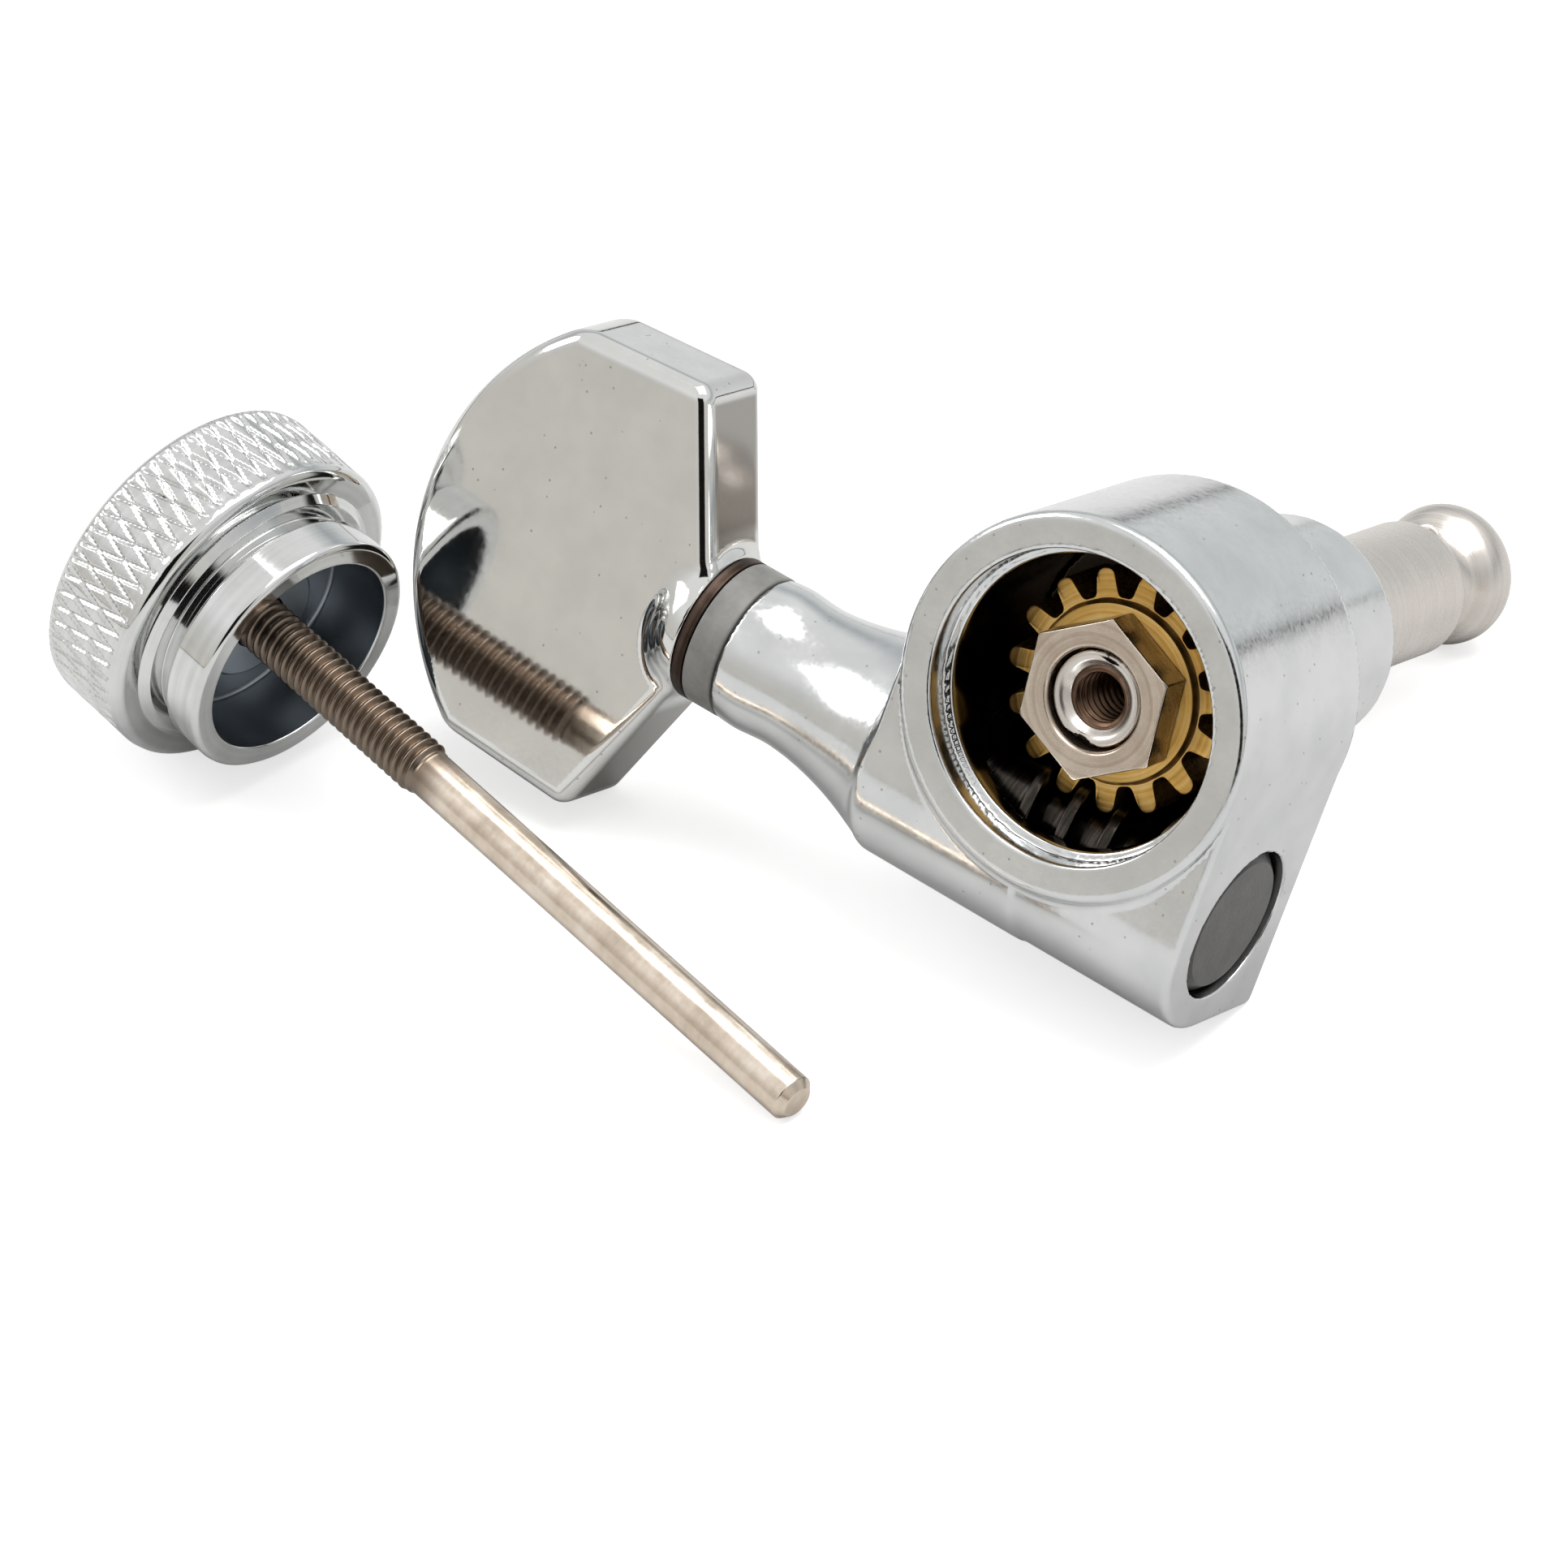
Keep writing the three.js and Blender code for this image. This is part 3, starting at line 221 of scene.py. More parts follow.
# Seen straight, the table top glows up to paper white and only its deep shadows stay.
glow = add(tree, "Math", {"operation": "MULTIPLY"}, _0=rays.outputs["Is Camera Ray"], _1=TABLE_GLOW)
white = add(tree, "Emission", Color=linear("#ffffff"), Strength=glow.outputs[0])
both = add(tree, "AddShader", _0=matt.outputs[0], _1=white.outputs[0])
add(tree, "OutputMaterial", Surface=both.outputs[0])
table_mesh.materials.append(laminate)

# Each soft box's place and aim in metres, its side in metres and its power in watts.
for name, place, aim, size, power in [
    ("overhead_box", (0.06, 0.1, 0.5), (0, 0, 0), 0.4, 2.4),
    ("left_box", (-0.4, -0.15, 0.3), (0, 0, 0.01), 0.25, 0.9),
]:
    lamp = bpy.data.lights.new(name, "AREA")
    lamp.shape, lamp.size, lamp.energy = "SQUARE", size, power
    holder = bpy.data.objects.new(name, lamp)
    facing = (Vector(aim) - Vector(place)).to_track_quat("-Z", "Y").to_matrix().to_4x4()
    holder.matrix_world = Matrix.Translation(place) @ facing
    bpy.context.scene.collection.objects.link(holder)

# The lens sees the photograph's width of 1932 pixels at 10000 pixels to a unit of slope.
# The matrix holds the camera's right, up and backward directions and its place in metres, worked
# out from the edges of the collar, the post and the knob.
SENSOR, PIXELS, FOCAL_PIXELS = 36, 1932, 10000
camera_data = bpy.data.cameras.new("camera")
camera = bpy.data.objects.new("camera", camera_data)
camera_data.sensor_width, camera_data.lens = SENSOR, SENSOR * FOCAL_PIXELS / PIXELS
camera_data.clip_start, camera_data.clip_end = 0.01, 10
camera_place = np.eye(4)
camera_place[:3, 0] = [0.79943, 0.600717, -0.007086]
camera_place[:3, 1] = [-0.3671, 0.497802, 0.785767]
camera_place[:3, 2] = [0.475551, -0.625565, 0.618481]
camera_place[:3, 3] = [0.16655, -0.22381, 0.21675]
camera.matrix_world = Matrix(camera_place.tolist())
bpy.context.scene.collection.objects.link(camera)
bpy.context.scene.camera = camera
bpy.context.scene.view_settings.view_transform = "Standard"


# Housing: zinc alloy die-cast in one piece, tumbled and chrome-plated. Case cup, block with the
# worm's tube, flared neck and collar run into each other over small cast rounds.
def round_cut(a, b, radius):
    """Overlap of two solids by signed distance, its edge rounded by the radius."""
    inside = np.minimum(np.maximum(a, b), -radius)
    return inside + np.hypot(np.maximum(a + radius, 0), np.maximum(b + radius, 0))


def round_join(a, b, radius):
    """Union of two solids by signed distance, its inner corner filled by the radius."""
    outside = np.maximum(np.minimum(a, b), radius)
    return outside - np.hypot(np.maximum(radius - a, 0), np.maximum(radius - b, 0))


def eased(x, places, values, reach):
    """Straight-line curve through the values, averaged over a reach so that its corners are soft."""
    return np.interp(x[:, None] + np.linspace(-reach, reach, 9), places, values).mean(-1)


def slope_of(field, points, step=0.004):
    """Gradient of a signed distance by central differences."""
    shifts = step * np.eye(3)
    return np.stack([(field(points + s) - field(points - s)) / (2 * step) for s in shifts], -1)


def show(name, mesh, material, body, slot, *nodes):
    """Puts a finished mesh in the scene on its body, in place of the CAD nodes named."""
    mesh.materials.append(material)
    made = bpy.data.objects.new(name, mesh)
    bpy.context.scene.collection.objects.link(made)
    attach(made, body)
    if nodes:
        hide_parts(*nodes)
    return made


def mark(mesh, values, apart=None):
    """Keeps each corner's place on the piece, in millimetres, for the patterns that follow it, and
    the share in which the piece's second look, set apart from the first, holds there."""
    made = mesh.attributes.new("piece_mm", "FLOAT_VECTOR", "POINT")
    made.data.foreach_set("vector", values.astype(np.float32).ravel())
    if apart is not None:
        made = mesh.attributes.new("set_apart", "FLOAT", "POINT")
        made.data.foreach_set("value", apart.astype(np.float32).ravel())


WELD, SETTLING_ROUNDS = 1e-7, 6


def cast_skin(name, node, field, square, turned=False, apart=None):
    """Skin of a solid given as a signed distance in tuner millimetres. The CAD node's shell is cut
    into even squares, every corner goes down the distance's slope until the distance is zero, and
    the slope across half a square becomes its normal."""
    shell = bmesh.new()
    shell.from_mesh(frame["nodes"][node].data)
    bmesh.ops.remove_doubles(shell, verts=shell.verts, dist=WELD)
    rough = bpy.data.meshes.new("rough")
    shell.to_mesh(rough)
    shell.free()
    places = np.zeros(3 * len(rough.vertices), np.float32)
    rough.vertices.foreach_get("co", places)
    places = (places.reshape(-1, 3) - tuner_foot) @ tuner_turn.T * 1000
    rough.vertices.foreach_set("co", places.astype(np.float32).ravel())
    holder = bpy.data.objects.new("rough", rough)
    bpy.context.scene.collection.objects.link(holder)
    squares = holder.modifiers.new("squares", "REMESH")
    squares.mode, squares.voxel_size, squares.adaptivity = "VOXEL", square, 0
    settled = bpy.context.evaluated_depsgraph_get()
    mesh = bpy.data.meshes.new_from_object(holder.evaluated_get(settled))
    bpy.data.objects.remove(holder)
    points = np.zeros(3 * len(mesh.vertices), np.float32)
    mesh.vertices.foreach_get("co", points)
    points = points.reshape(-1, 3).astype(float)
    for _ in range(SETTLING_ROUNDS):
        slope = slope_of(field, points)
        steep = np.maximum((slope**2).sum(-1), 0.1)
        points -= slope * (np.clip(field(points), -square, square) / steep)[:, None]
    slope = slope_of(field, points, square / 2)
    slope /= np.linalg.norm(slope, axis=1)[:, None]
    mesh.vertices.foreach_set("co", on_tuner(points).astype(np.float32).ravel())
    mesh.name = name
    share = apart(points) if apart else None
    if turned:
        out = np.hypot(points[:, 0], points[:, 2])
        points = np.stack([out, points[:, 1], points[:, 0] / np.maximum(out, 0.1)], -1)
    mark(mesh, points, share)
    mesh.shade_smooth()
    mesh.normals_split_custom_set_from_vertices((slope @ tuner_turn).tolist())
    return mesh


CASE_RADIUS, CASE_DEPTH, CASE_BORE, CASE_FLOOR, RIM_BORE, RIM_STEP = 8.1, 10.1, 6.2, 8.3, 6.57, 1.2
TUBE_RADIUS, WORM_BORE, WORM_BORE_FROM, SHAFT_BORE = 4.9, 3.4, -6.3, 1.96
COLLAR_RADIUS, COLLAR_END, COLLAR_BORE, COLLAR_FLOOR, BUSH_BORE = 5.0, 19.3, 4.0, 11.7, 3.59
DOWEL_PLACE, DOWEL_BORE, DOWEL_FLOOR = 6.5, 0.83, 9.05
NECK_END, NECK_LENGTH, NECK_RADIUS, NECK_SOFTENING = -16.7, 8.6, 3.3, 0.05
CAST_ROUND, CUP_FRONT_ROUND, NECK_END_ROUND, NECK_FILLET = 0.35, 0.2, 0.2, 0.35
COLLAR_ROUND, COLLAR_FILLET, RIM_ROUND = 0.3, 0.15, 0.15
FRONT_BORE_ROUND, WORM_BORE_ROUND = 0.08, 0.06
FILLET_LEAST, FILLET_MORE, FILLET_FADES_FROM, FILLET_FADE = 0.02, 0.45, 7.7, 1.6
HOUSING_SQUARE = 0.176
# Along the neck, from its end to the block: how far it has swollen from its radius to the tube's.
neck_share = [-1, 0.03, 0.1, 0.19, 0.28, 0.37, 0.47, 0.58, 0.7, 0.78, 0.85, 0.93, 1, 2]
neck_swell = [0, 0, 0.05, 0, -0.04, -0.01, 0.06, 0.175, 0.345, 0.485, 0.625, 0.8, 0.96, 0.96]


def housing_field(p):
    """Signed distance of the housing: cup, block, neck and collar joined, less the bores."""
    x, y, z = p.T
    from_post, from_worm = np.hypot(x, z), np.hypot(y - WORM_DEPTH, z + WORM_DROP)
    cup = round_cut(from_post - CASE_RADIUS, -y, CAST_ROUND)
    cup = round_cut(cup, y - CASE_DEPTH, CUP_FRONT_ROUND)
    rear, bottom = WORM_DEPTH - TUBE_RADIUS - y, -(WORM_DROP + TUBE_RADIUS) - z
    section = np.maximum(round_cut(rear, bottom, TUBE_RADIUS), z)
    section = round_cut(section, y - CASE_DEPTH, CAST_ROUND)
    block = round_cut(section, np.abs(x) - CASE_RADIUS, CAST_ROUND)
    # The fillet between cup and block dies out towards the block's ends.
    fading = np.clip((FILLET_FADES_FROM - np.abs(x)) / FILLET_FADE, 0, 1)
    fillet = FILLET_LEAST + FILLET_MORE * fading
    body = round_join(cup, block, fillet)
    swell = eased((x - NECK_END) / NECK_LENGTH, neck_share, neck_swell, NECK_SOFTENING)
    # The factor keeps the sloping neck's distance from running ahead of the true one.
    neck = 0.9 * (from_worm - NECK_RADIUS - (TUBE_RADIUS - NECK_RADIUS) * swell)
    neck = np.maximum(round_cut(neck, NECK_END - x, NECK_END_ROUND), x)
    body = round_join(body, neck, NECK_FILLET)
    collar = round_cut(from_post - COLLAR_RADIUS, y - COLLAR_END, COLLAR_ROUND)
    body = round_join(body, np.maximum(collar, WORM_DEPTH - y), COLLAR_FILLET)
    rim = round_cut(from_post - RIM_BORE, y - RIM_STEP, RIM_ROUND)
    body = round_cut(body, -rim, RIM_ROUND)
    body = round_cut(body, -np.maximum(from_post - CASE_BORE, y - CASE_FLOOR), RIM_ROUND)
    front = np.maximum(from_post - BUSH_BORE, y - CASE_DEPTH - TUBE_RADIUS)
    front = np.minimum(front, np.maximum(from_post - COLLAR_BORE, COLLAR_FLOOR - y))
    body = round_cut(body, -front, FRONT_BORE_ROUND)
    worm = np.maximum(from_worm - WORM_BORE, WORM_BORE_FROM - x)
    body = round_cut(body, -np.minimum(from_worm - SHAFT_BORE, worm), WORM_BORE_ROUND)
    dowels = np.hypot(np.abs(x) - DOWEL_PLACE, z) - DOWEL_BORE
    return np.maximum(body, -np.maximum(dowels, DOWEL_FLOOR - y))


def finish(name):
    """Empty material with its node tree, ready for nodes."""
    made = bpy.data.materials.new(name)
    made.use_nodes = True
    made.node_tree.nodes.clear()
    return made, made.node_tree


def second_look(tree, colour, rough, second):
    """Colour and roughness that give way to a second pair where the piece is set apart."""
    apart = add(tree, "Attribute", {"attribute_name": "set_apart"}).outputs["Fac"]
    colour = add(tree, "MixRGB", Fac=apart, Color1=colour, Color2=linear(second[0]))
    rough = add(tree, "Mix", _0=apart, _2=rough, _3=second[1])
    return colour.outputs[0], rough.outputs[0]


# To a millimetre: the blank's waves, 2.2 mm long; the wheel's polishing grain, drawn coarser than it
# is so that it shows; and the cells that hold one pit each, 0.8 mm apart.
WAVES_TO_MM, GRAINS_TO_MM, PITS_TO_MM, MM_IN_METRE = 0.45, 4.2, 1.3, 1000


def chrome_finish(name, tints, roughness, waves, grain, pits, second):
    """Decorative chrome over a cast or turned blank. Slow waves of the blank, millimetres long, bend
    what it mirrors, polishing haze greys it, and dark pits pepper it."""
    made, tree = finish(name)
    where = add(tree, "TexCoord").outputs["Object"]
    wave, speck, pit = (MM_IN_METRE * n for n in (WAVES_TO_MM, GRAINS_TO_MM, PITS_TO_MM))
    slow = add(tree, "TexNoise", Vector=where, Scale=wave, Detail=2.0, Roughness=0.55)
    fine = add(tree, "TexNoise", Vector=where, Scale=speck, Detail=3.0, Roughness=0.6)
    spots = add(tree, "TexVoronoi", Vector=where, Scale=pit)
    spot = add(tree, "MapRange", Value=spots.outputs["Distance"], From_Min=0.04, From_Max=0.1)
    haze = add(
        tree,
        "MapRange",
        Value=fine.outputs[0],
        From_Min=0.35,
        From_Max=0.7,
        To_Min=roughness,
        To_Max=2 * roughness,
    )
    worn = add(tree, "MapRange", Value=spot.outputs[0], To_Min=roughness + pits, To_Max=0.0)
    rough = add(tree, "Math", {"operation": "MAXIMUM"}, _0=haze.outputs[0], _1=worn.outputs[0])
    plate = shades(tree, slow.outputs[0], [(0.35, tints[0]), (0.65, tints[1])])
    colour = add(tree, "MixRGB", Fac=spot.outputs[0], Color1=linear(tints[2]), Color2=plate)
    wavy = add(tree, "Bump", Strength=waves, Distance=0.0002, Height=slow.outputs[0])
    grainy = add(
        tree,
        "Bump",
        Strength=grain,
        Distance=0.00001,
        Height=fine.outputs[0],
        Normal=wavy.outputs[0],
    )
    colour, rough = second_look(tree, colour.outputs[0], rough.outputs[0], second)
    shader = add(
        tree,
        "BsdfPrincipled",
        Base_Color=colour,
        Metallic=1.0,
        Roughness=rough,
        Normal=grainy.outputs[0],
    )
    add(tree, "OutputMaterial", Surface=shader.outputs[0])
    return made


SHADE_PAST, SHADE_PAST_TUBE, SHADE_FADE = 0.3, 0.1, 0.35


def painted_inner_shade(p):
    """Share of one inside the case and the tube, where a near-black colour is painted shade."""
    x, y, z = p.T
    bore = (np.hypot(x, z) < CASE_BORE + RIM_ROUND) & (y < CASE_FLOOR + SHADE_PAST)
    tube = np.hypot(y - WORM_DEPTH, z + WORM_DROP) < WORM_BORE + SHADE_PAST_TUBE
    tube = tube & (x > WORM_BORE_FROM) & (x < CASE_RADIUS - SHADE_PAST)
    return np.maximum(bore * np.clip((y - RIM_STEP - RIM_ROUND) / SHADE_FADE, 0, 1), tube)


# Cold bright chrome on a rough casting: soft-edged reflections, and painted near-black shade inside
# the case and the tube.
cast_chrome = chrome_finish(
    "cast_chrome_plate",
    ("#d3d5d5", "#dcdddd", "#a4a5a4"),
    roughness=0.11,
    waves=0.05,
    grain=0.25,
    pits=0.2,
    # Painted shade: near black and brownish, inside the case and the tube.
    second=("#3a322b", 0.14),
)
show(
    "housing_casting",
    cast_skin("housing_casting", "housing", housing_field, HOUSING_SQUARE, apart=painted_inner_shade),
    cast_chrome,
    "case",
    "chrome_plate",
    "housing",
)


# Button: zinc alloy die-cast half-moon with a domed hub on its inner side, polished nearly flat and
# chrome-plated, so that its face mirrors the knob and the pin that lie before it.
HUB_FACE, BUTTON_FLAT, FLAT_HALF, HUB_RADIUS, HUB_LENGTH = -18.8, -18.95, 3.0, 3.3, 2.6
INNER_CORNER, OUTER_CORNER, BUTTON_ARC_END = (-21.85, 10.15), (-28.55, 9.7), -33.3
BUTTON_HALF_THICK, BUTTON_ROUND, BUTTON_SQUARE = 2.3, 0.75, 0.14
FLAT_ROUND, INNER_ROUND, OUTER_ROUND = 0.09, 0.65, 0.4
HUB_ROUND, HUB_FILLET, SEAT_ROUND = 0.1, 0.45, 0.08
SHAFT_SEAT, SHAFT_SEAT_END = 1.73, -28.85
SCREW_BORE, SCREW_HEAD_BORE, SCREW_SEAT = 1.16, 1.96, -31.2


def past_line(x, z, start, end):
    """Signed distance past the straight line from start to end, positive on its left."""
    run = np.subtract(end, start) / math.dist(start, end)
    return (z - start[1]) * run[0] - (x - start[0]) * run[1]


def button_field(p):
    """Signed distance of the button: a plate with rounded edges and a domed hub, less its bores."""
    x, y, z = p.T
    away, from_mid = np.abs(z + WORM_DROP), y - WORM_DEPTH
    from_worm = np.hypot(from_mid, z + WORM_DROP)
    rise = OUTER_CORNER[0] - BUTTON_ARC_END
    arc_radius = (OUTER_CORNER[1] ** 2 + rise**2) / (2 * rise)
    arc = np.hypot(x - BUTTON_ARC_END - arc_radius, away) - arc_radius
    slant = -past_line(x, away, (BUTTON_FLAT, FLAT_HALF), INNER_CORNER)
    side = -past_line(x, away, INNER_CORNER, OUTER_CORNER)
    outline = round_cut(x - BUTTON_FLAT, slant, FLAT_ROUND)
    outline = round_cut(outline, side, INNER_ROUND)
    outline = round_cut(outline, arc, OUTER_ROUND)
    plate = round_cut(outline, np.abs(from_mid) - BUTTON_HALF_THICK, BUTTON_ROUND)
    dome = HUB_LENGTH + BUTTON_FLAT - HUB_FACE
    hub = np.hypot(np.minimum(x - BUTTON_FLAT, 0) / dome, from_worm / HUB_RADIUS) - 1
    hub = round_cut(dome * hub, x - HUB_FACE, HUB_ROUND)
    body = round_join(plate, hub, HUB_FILLET)
    shaft = np.maximum(from_worm - SHAFT_SEAT, SHAFT_SEAT_END - x)
    head = np.maximum(from_worm - SCREW_HEAD_BORE, x - SCREW_SEAT)
    bore = np.minimum(np.minimum(shaft, head), from_worm - SCREW_BORE)
    return round_cut(body, -bore, SEAT_ROUND)


# The painted darker reflection starts outside the hub and stays off the rounded edges, fading over a
# fraction of a mm.
DIM_FROM, DIM_FADE, DIM_OFF_CORNER = 3.9, 0.5, 0.6
DIM_OFF_FACE, DIM_EDGE, DIM_DEPTH = 0.55, 0.15, 0.05


def painted_dim_slant(p):
    """Share of one on the slanting inner sides, where a greyer colour is a painted darker reflection.
    """
    x, y, z = p.T
    away = np.abs(z + WORM_DROP)
    slant = -past_line(x, away, (BUTTON_FLAT, FLAT_HALF), INNER_CORNER)
    inset = np.minimum(
        (away - DIM_FROM) / DIM_FADE, (INNER_CORNER[1] - DIM_OFF_CORNER - away) / DIM_EDGE
    )
    from_face = BUTTON_HALF_THICK - DIM_OFF_FACE - np.abs(y - WORM_DEPTH)
    inset = np.minimum(inset, from_face / DIM_EDGE)
    return np.clip(np.minimum(inset, (slant + DIM_EDGE) / DIM_DEPTH), 0, 1)


# The same chrome on a well-polished blank: a near mirror with a few pits, and greyer on the slant, a
# painted darker reflection.
face_chrome = chrome_finish(
    "button_chrome_plate",
    ("#d9d9d7", "#e0e0de", "#b3b1ab"),
    roughness=0.05,
    waves=0.02,
    grain=0.06,
    pits=0.15,
    # The slant's painted darker reflection: greyer and a little rougher.
    second=("#a09d99", 0.09),
)
show(
    "button_casting",
    cast_skin("button_casting", "button", button_field, BUTTON_SQUARE, apart=painted_dim_slant),
    face_chrome,
    "worm_and_button",
    "chrome_plate",
    "button",
)


# String post: turned from brass rod and satin nickel-plated, with a waist for the string and a
# rounded head. Its hollow stub inside the case is tapped for the locking pin.
POST_REAR, POST_SHOULDER, POST_STEP, POST_TOP_LENGTH = 2.25, 6.95, 29.7, 5.4
POST_RADIUS, POST_STUB, POST_WAIST, POST_HEAD = 3.0, 2.05, 2.05, 3.13
POST_TAP, POST_TAP_END, POST_SINK, PIN_BORE, PIN_BORE_END = 1.3, 15.25, 0.4, 1.15, 33.4
BARREL_ROUND, STUB_ROUND, POST_BORE_ROUND, POST_OVERLAP = 0.12, 0.18, 0.1, 0.3
POST_SOFTENING, POST_SQUARE = 0.025, 0.12
# Along the post's top, from the barrel to the head's end: how far it stands out from the waist. Past
# the crown's start an arc ends it.
CROWN_FROM, CROWN_SHARE, CROWN_TOP, CROWN_FALL = 0.83, 0.17, 0.92, 1.9
STRING_HOLE, STRING_HOLE_AT, STRING_HOLE_TURN = 0.85, 31.266, math.radians(25)
top_share = [0, 0.02, 0.07, 0.13, 0.19, 0.25, 0.31, 0.38, 0.45, 0.52, 0.59, 0.67, 0.75, 0.83, 0.91]
top_swell = [0.88, 0.83, 0.62, 0.35, 0.14, 0.02, 0, 0.1, 0.32, 0.6, 0.84, 0.98, 1, 0.92, 0.66]


def post_field(p):
    """Signed distance of the post: a turned outline, less its tapped bore and the string's hole."""
    x, y, z = p.T
    from_post = np.hypot(x, z)
    share = (y - POST_STEP) / POST_TOP_LENGTH
    shape = eased(share, top_share, top_swell, POST_SOFTENING)
    crown = 1 - np.sqrt(np.clip((1.0 - share) / CROWN_SHARE, 0, 1))
    swell = np.where(share < CROWN_FROM, shape, CROWN_TOP - CROWN_FALL * crown)
    head = 0.8 * (from_post - POST_WAIST - (POST_HEAD - POST_WAIST) * swell)
    head = np.maximum(head, y - POST_STEP - POST_TOP_LENGTH)
    barrel = round_cut(from_post - POST_RADIUS, y - POST_STEP, BARREL_ROUND)
    barrel = np.maximum(barrel, POST_SHOULDER - y)
    stub = round_cut(from_post - POST_STUB, POST_REAR - y, STUB_ROUND)
    stub = np.maximum(stub, y - POST_STEP)
    body = np.minimum(np.minimum(stub, barrel), np.maximum(head, POST_STEP - POST_OVERLAP - y))
    cone = 0.7 * (from_post - POST_TAP - np.maximum(POST_REAR + POST_SINK - y, 0))
    tap = np.maximum(cone, y - POST_TAP_END)
    pin = np.maximum(from_post - PIN_BORE, y - PIN_BORE_END)
    turned_x = x * math.cos(STRING_HOLE_TURN) + z * math.sin(STRING_HOLE_TURN)
    hole = np.hypot(turned_x, y - STRING_HOLE_AT) - STRING_HOLE
    return round_cut(body, -np.minimum(np.minimum(tap, pin), hole), POST_BORE_ROUND)


# Clouds of tarnish 1.5 mm long. The tool marks' third value runs round the piece, where they are
# long.
CLOUDS_TO_MM, MARKS_ROUND = 0.65, 0.35


def metal_finish(name, tints, roughness, rings, streaks, bump, second=("#808080", 0.3)):
    """Turned and plated or bare metal. Tool marks run round the axis, rings of them to a millimetre,
    and give the lighter and darker bands that a lathe leaves; a cloud of tarnish lies under them."""
    made, tree = finish(name)
    where = add(tree, "Attribute", {"attribute_name": "piece_mm"}).outputs["Vector"]
    stretch = (rings, rings, MARKS_ROUND)
    marks = add(tree, "VectorMath", {"operation": "MULTIPLY"}, _0=where, _1=stretch)
    lines = add(tree, "TexNoise", Vector=marks.outputs[0], Scale=1.0, Detail=3.0, Roughness=0.65)
    solid = add(tree, "TexCoord").outputs["Object"]
    size = MM_IN_METRE * CLOUDS_TO_MM
    cloud = add(tree, "TexNoise", Vector=solid, Scale=size, Detail=4.0, Roughness=0.6)
    blend = add(
        tree, "MixRGB", Fac=streaks, Color1=cloud.outputs[0], Color2=lines.outputs[0]
    ).outputs[0]
    colour = shades(tree, blend, [(0.36, tints[0]), (0.5, tints[1]), (0.64, tints[2])])
    rough = add(
        tree,
        "MapRange",
        Value=blend,
        From_Min=0.35,
        From_Max=0.65,
        To_Min=0.8 * roughness,
        To_Max=1.35 * roughness,
    )
    cut = add(tree, "Bump", Strength=bump, Distance=0.00002, Height=lines.outputs[0])
    colour, rough = second_look(tree, colour, rough.outputs[0], second)
    shader = add(
        tree,
        "BsdfPrincipled",
        Base_Color=colour,
        Metallic=1.0,
        Roughness=rough,
        Normal=cut.outputs[0],
    )
    add(tree, "OutputMaterial", Surface=shader.outputs[0])
    return made


# Warm pale grey with a soft sheen, faintly banded round the post.
satin_nickel = metal_finish(
    "satin_nickel_plate",
    ("#cec7c0", "#d3cdc7", "#d9d4ce"),
    roughness=0.26,
    rings=5.0,
    streaks=0.8,
    bump=0.06,
)
show(
    "string_post_turned",
    cast_skin("string_post_turned", "string_post", post_field, POST_SQUARE, True),
    satin_nickel,
    "post",
    "satin_nickel",
    "string_post",
)


# Thread inside the post: cut with a fine metric tap, left bare, coppery brown where the plating
# didn't reach.
def woven(name, points, normals, around, along, piece_mm, apart=None):
    """Mesh of a grid of points, joined up around its rows, along its columns or both. Points that
    meet are merged, so that poles close, and the faces are turned to face outwards."""
    rows, columns = points.shape[:2]
    flat = points.reshape(-1, 3)
    _, first, spot = np.unique(
        np.round(flat * 1e7).astype(np.int64), axis=0, return_index=True, return_inverse=True
    )
    spot = spot.reshape(rows, columns)
    i, j = np.meshgrid(
        np.arange(rows if along else rows - 1),
        np.arange(columns if around else columns - 1),
        indexing="ij",
    )
    i_next, j_next = (i + 1) % rows, (j + 1) % columns
    quads = np.stack([spot[i, j], spot[i_next, j], spot[i_next, j_next], spot[i, j_next]], -1)
    quads = quads.reshape(-1, 4)
    kept = flat[first]
    a, b, c, d = (kept[quads[:, k]] - kept.mean(0) for k in range(4))
    if (np.cross(a, b) * c).sum() + (np.cross(a, c) * d).sum() < 0:
        quads = quads[:, ::-1]
    faces = [list(dict.fromkeys(quad)) for quad in quads.tolist()]
    mesh = bpy.data.meshes.new(name)
    mesh.from_pydata(kept.tolist(), [], [face for face in faces if len(face) > 2])
    mark(mesh, piece_mm.reshape(-1, 3)[first], None if apart is None else apart.ravel()[first])
    mesh.shade_smooth()
    if normals is not None:
        total = np.zeros_like(kept)
        np.add.at(total, spot.ravel(), normals.reshape(-1, 3))
        total /= np.maximum(np.linalg.norm(total, axis=1), 1e-9)[:, None]
        mesh.normals_split_custom_set_from_vertices(total.tolist())
    return mesh


def turned_place(line, out, along, turn):
    """Points at a distance out from a line, along it and turned about it; out and along are in
    millimetres and the points in metres."""
    foot, axis, up, side = line
    radial = np.cos(turn)[..., None] * up + np.sin(turn)[..., None] * side
    return foot + 0.001 * (out[..., None] * radial + along[..., None] * axis)


TAP_PITCH, TAP_CREST, TAP_FROM, TAP_TO, TAP_WALL = 0.45, 1.06, 2.6, 9.0, 0.04
TAP_ROWS, TAP_COLUMNS = 150, 48
down = np.concatenate([np.linspace(TAP_FROM, TAP_TO, TAP_ROWS), [TAP_TO, TAP_FROM]])
turn = np.linspace(0, 2 * math.pi, TAP_COLUMNS, endpoint=False)
down, turn = np.meshgrid(down, turn, indexing="ij")
# The thread's ridge rises and falls once a pitch and climbs one pitch a turn.
ridge = 0.5 - 0.5 * np.cos(2 * math.pi * (down / TAP_PITCH - turn / (2 * math.pi)))
wall = TAP_CREST + (POST_TAP - TAP_CREST) * ridge
wall[TAP_ROWS:] = POST_TAP + TAP_WALL
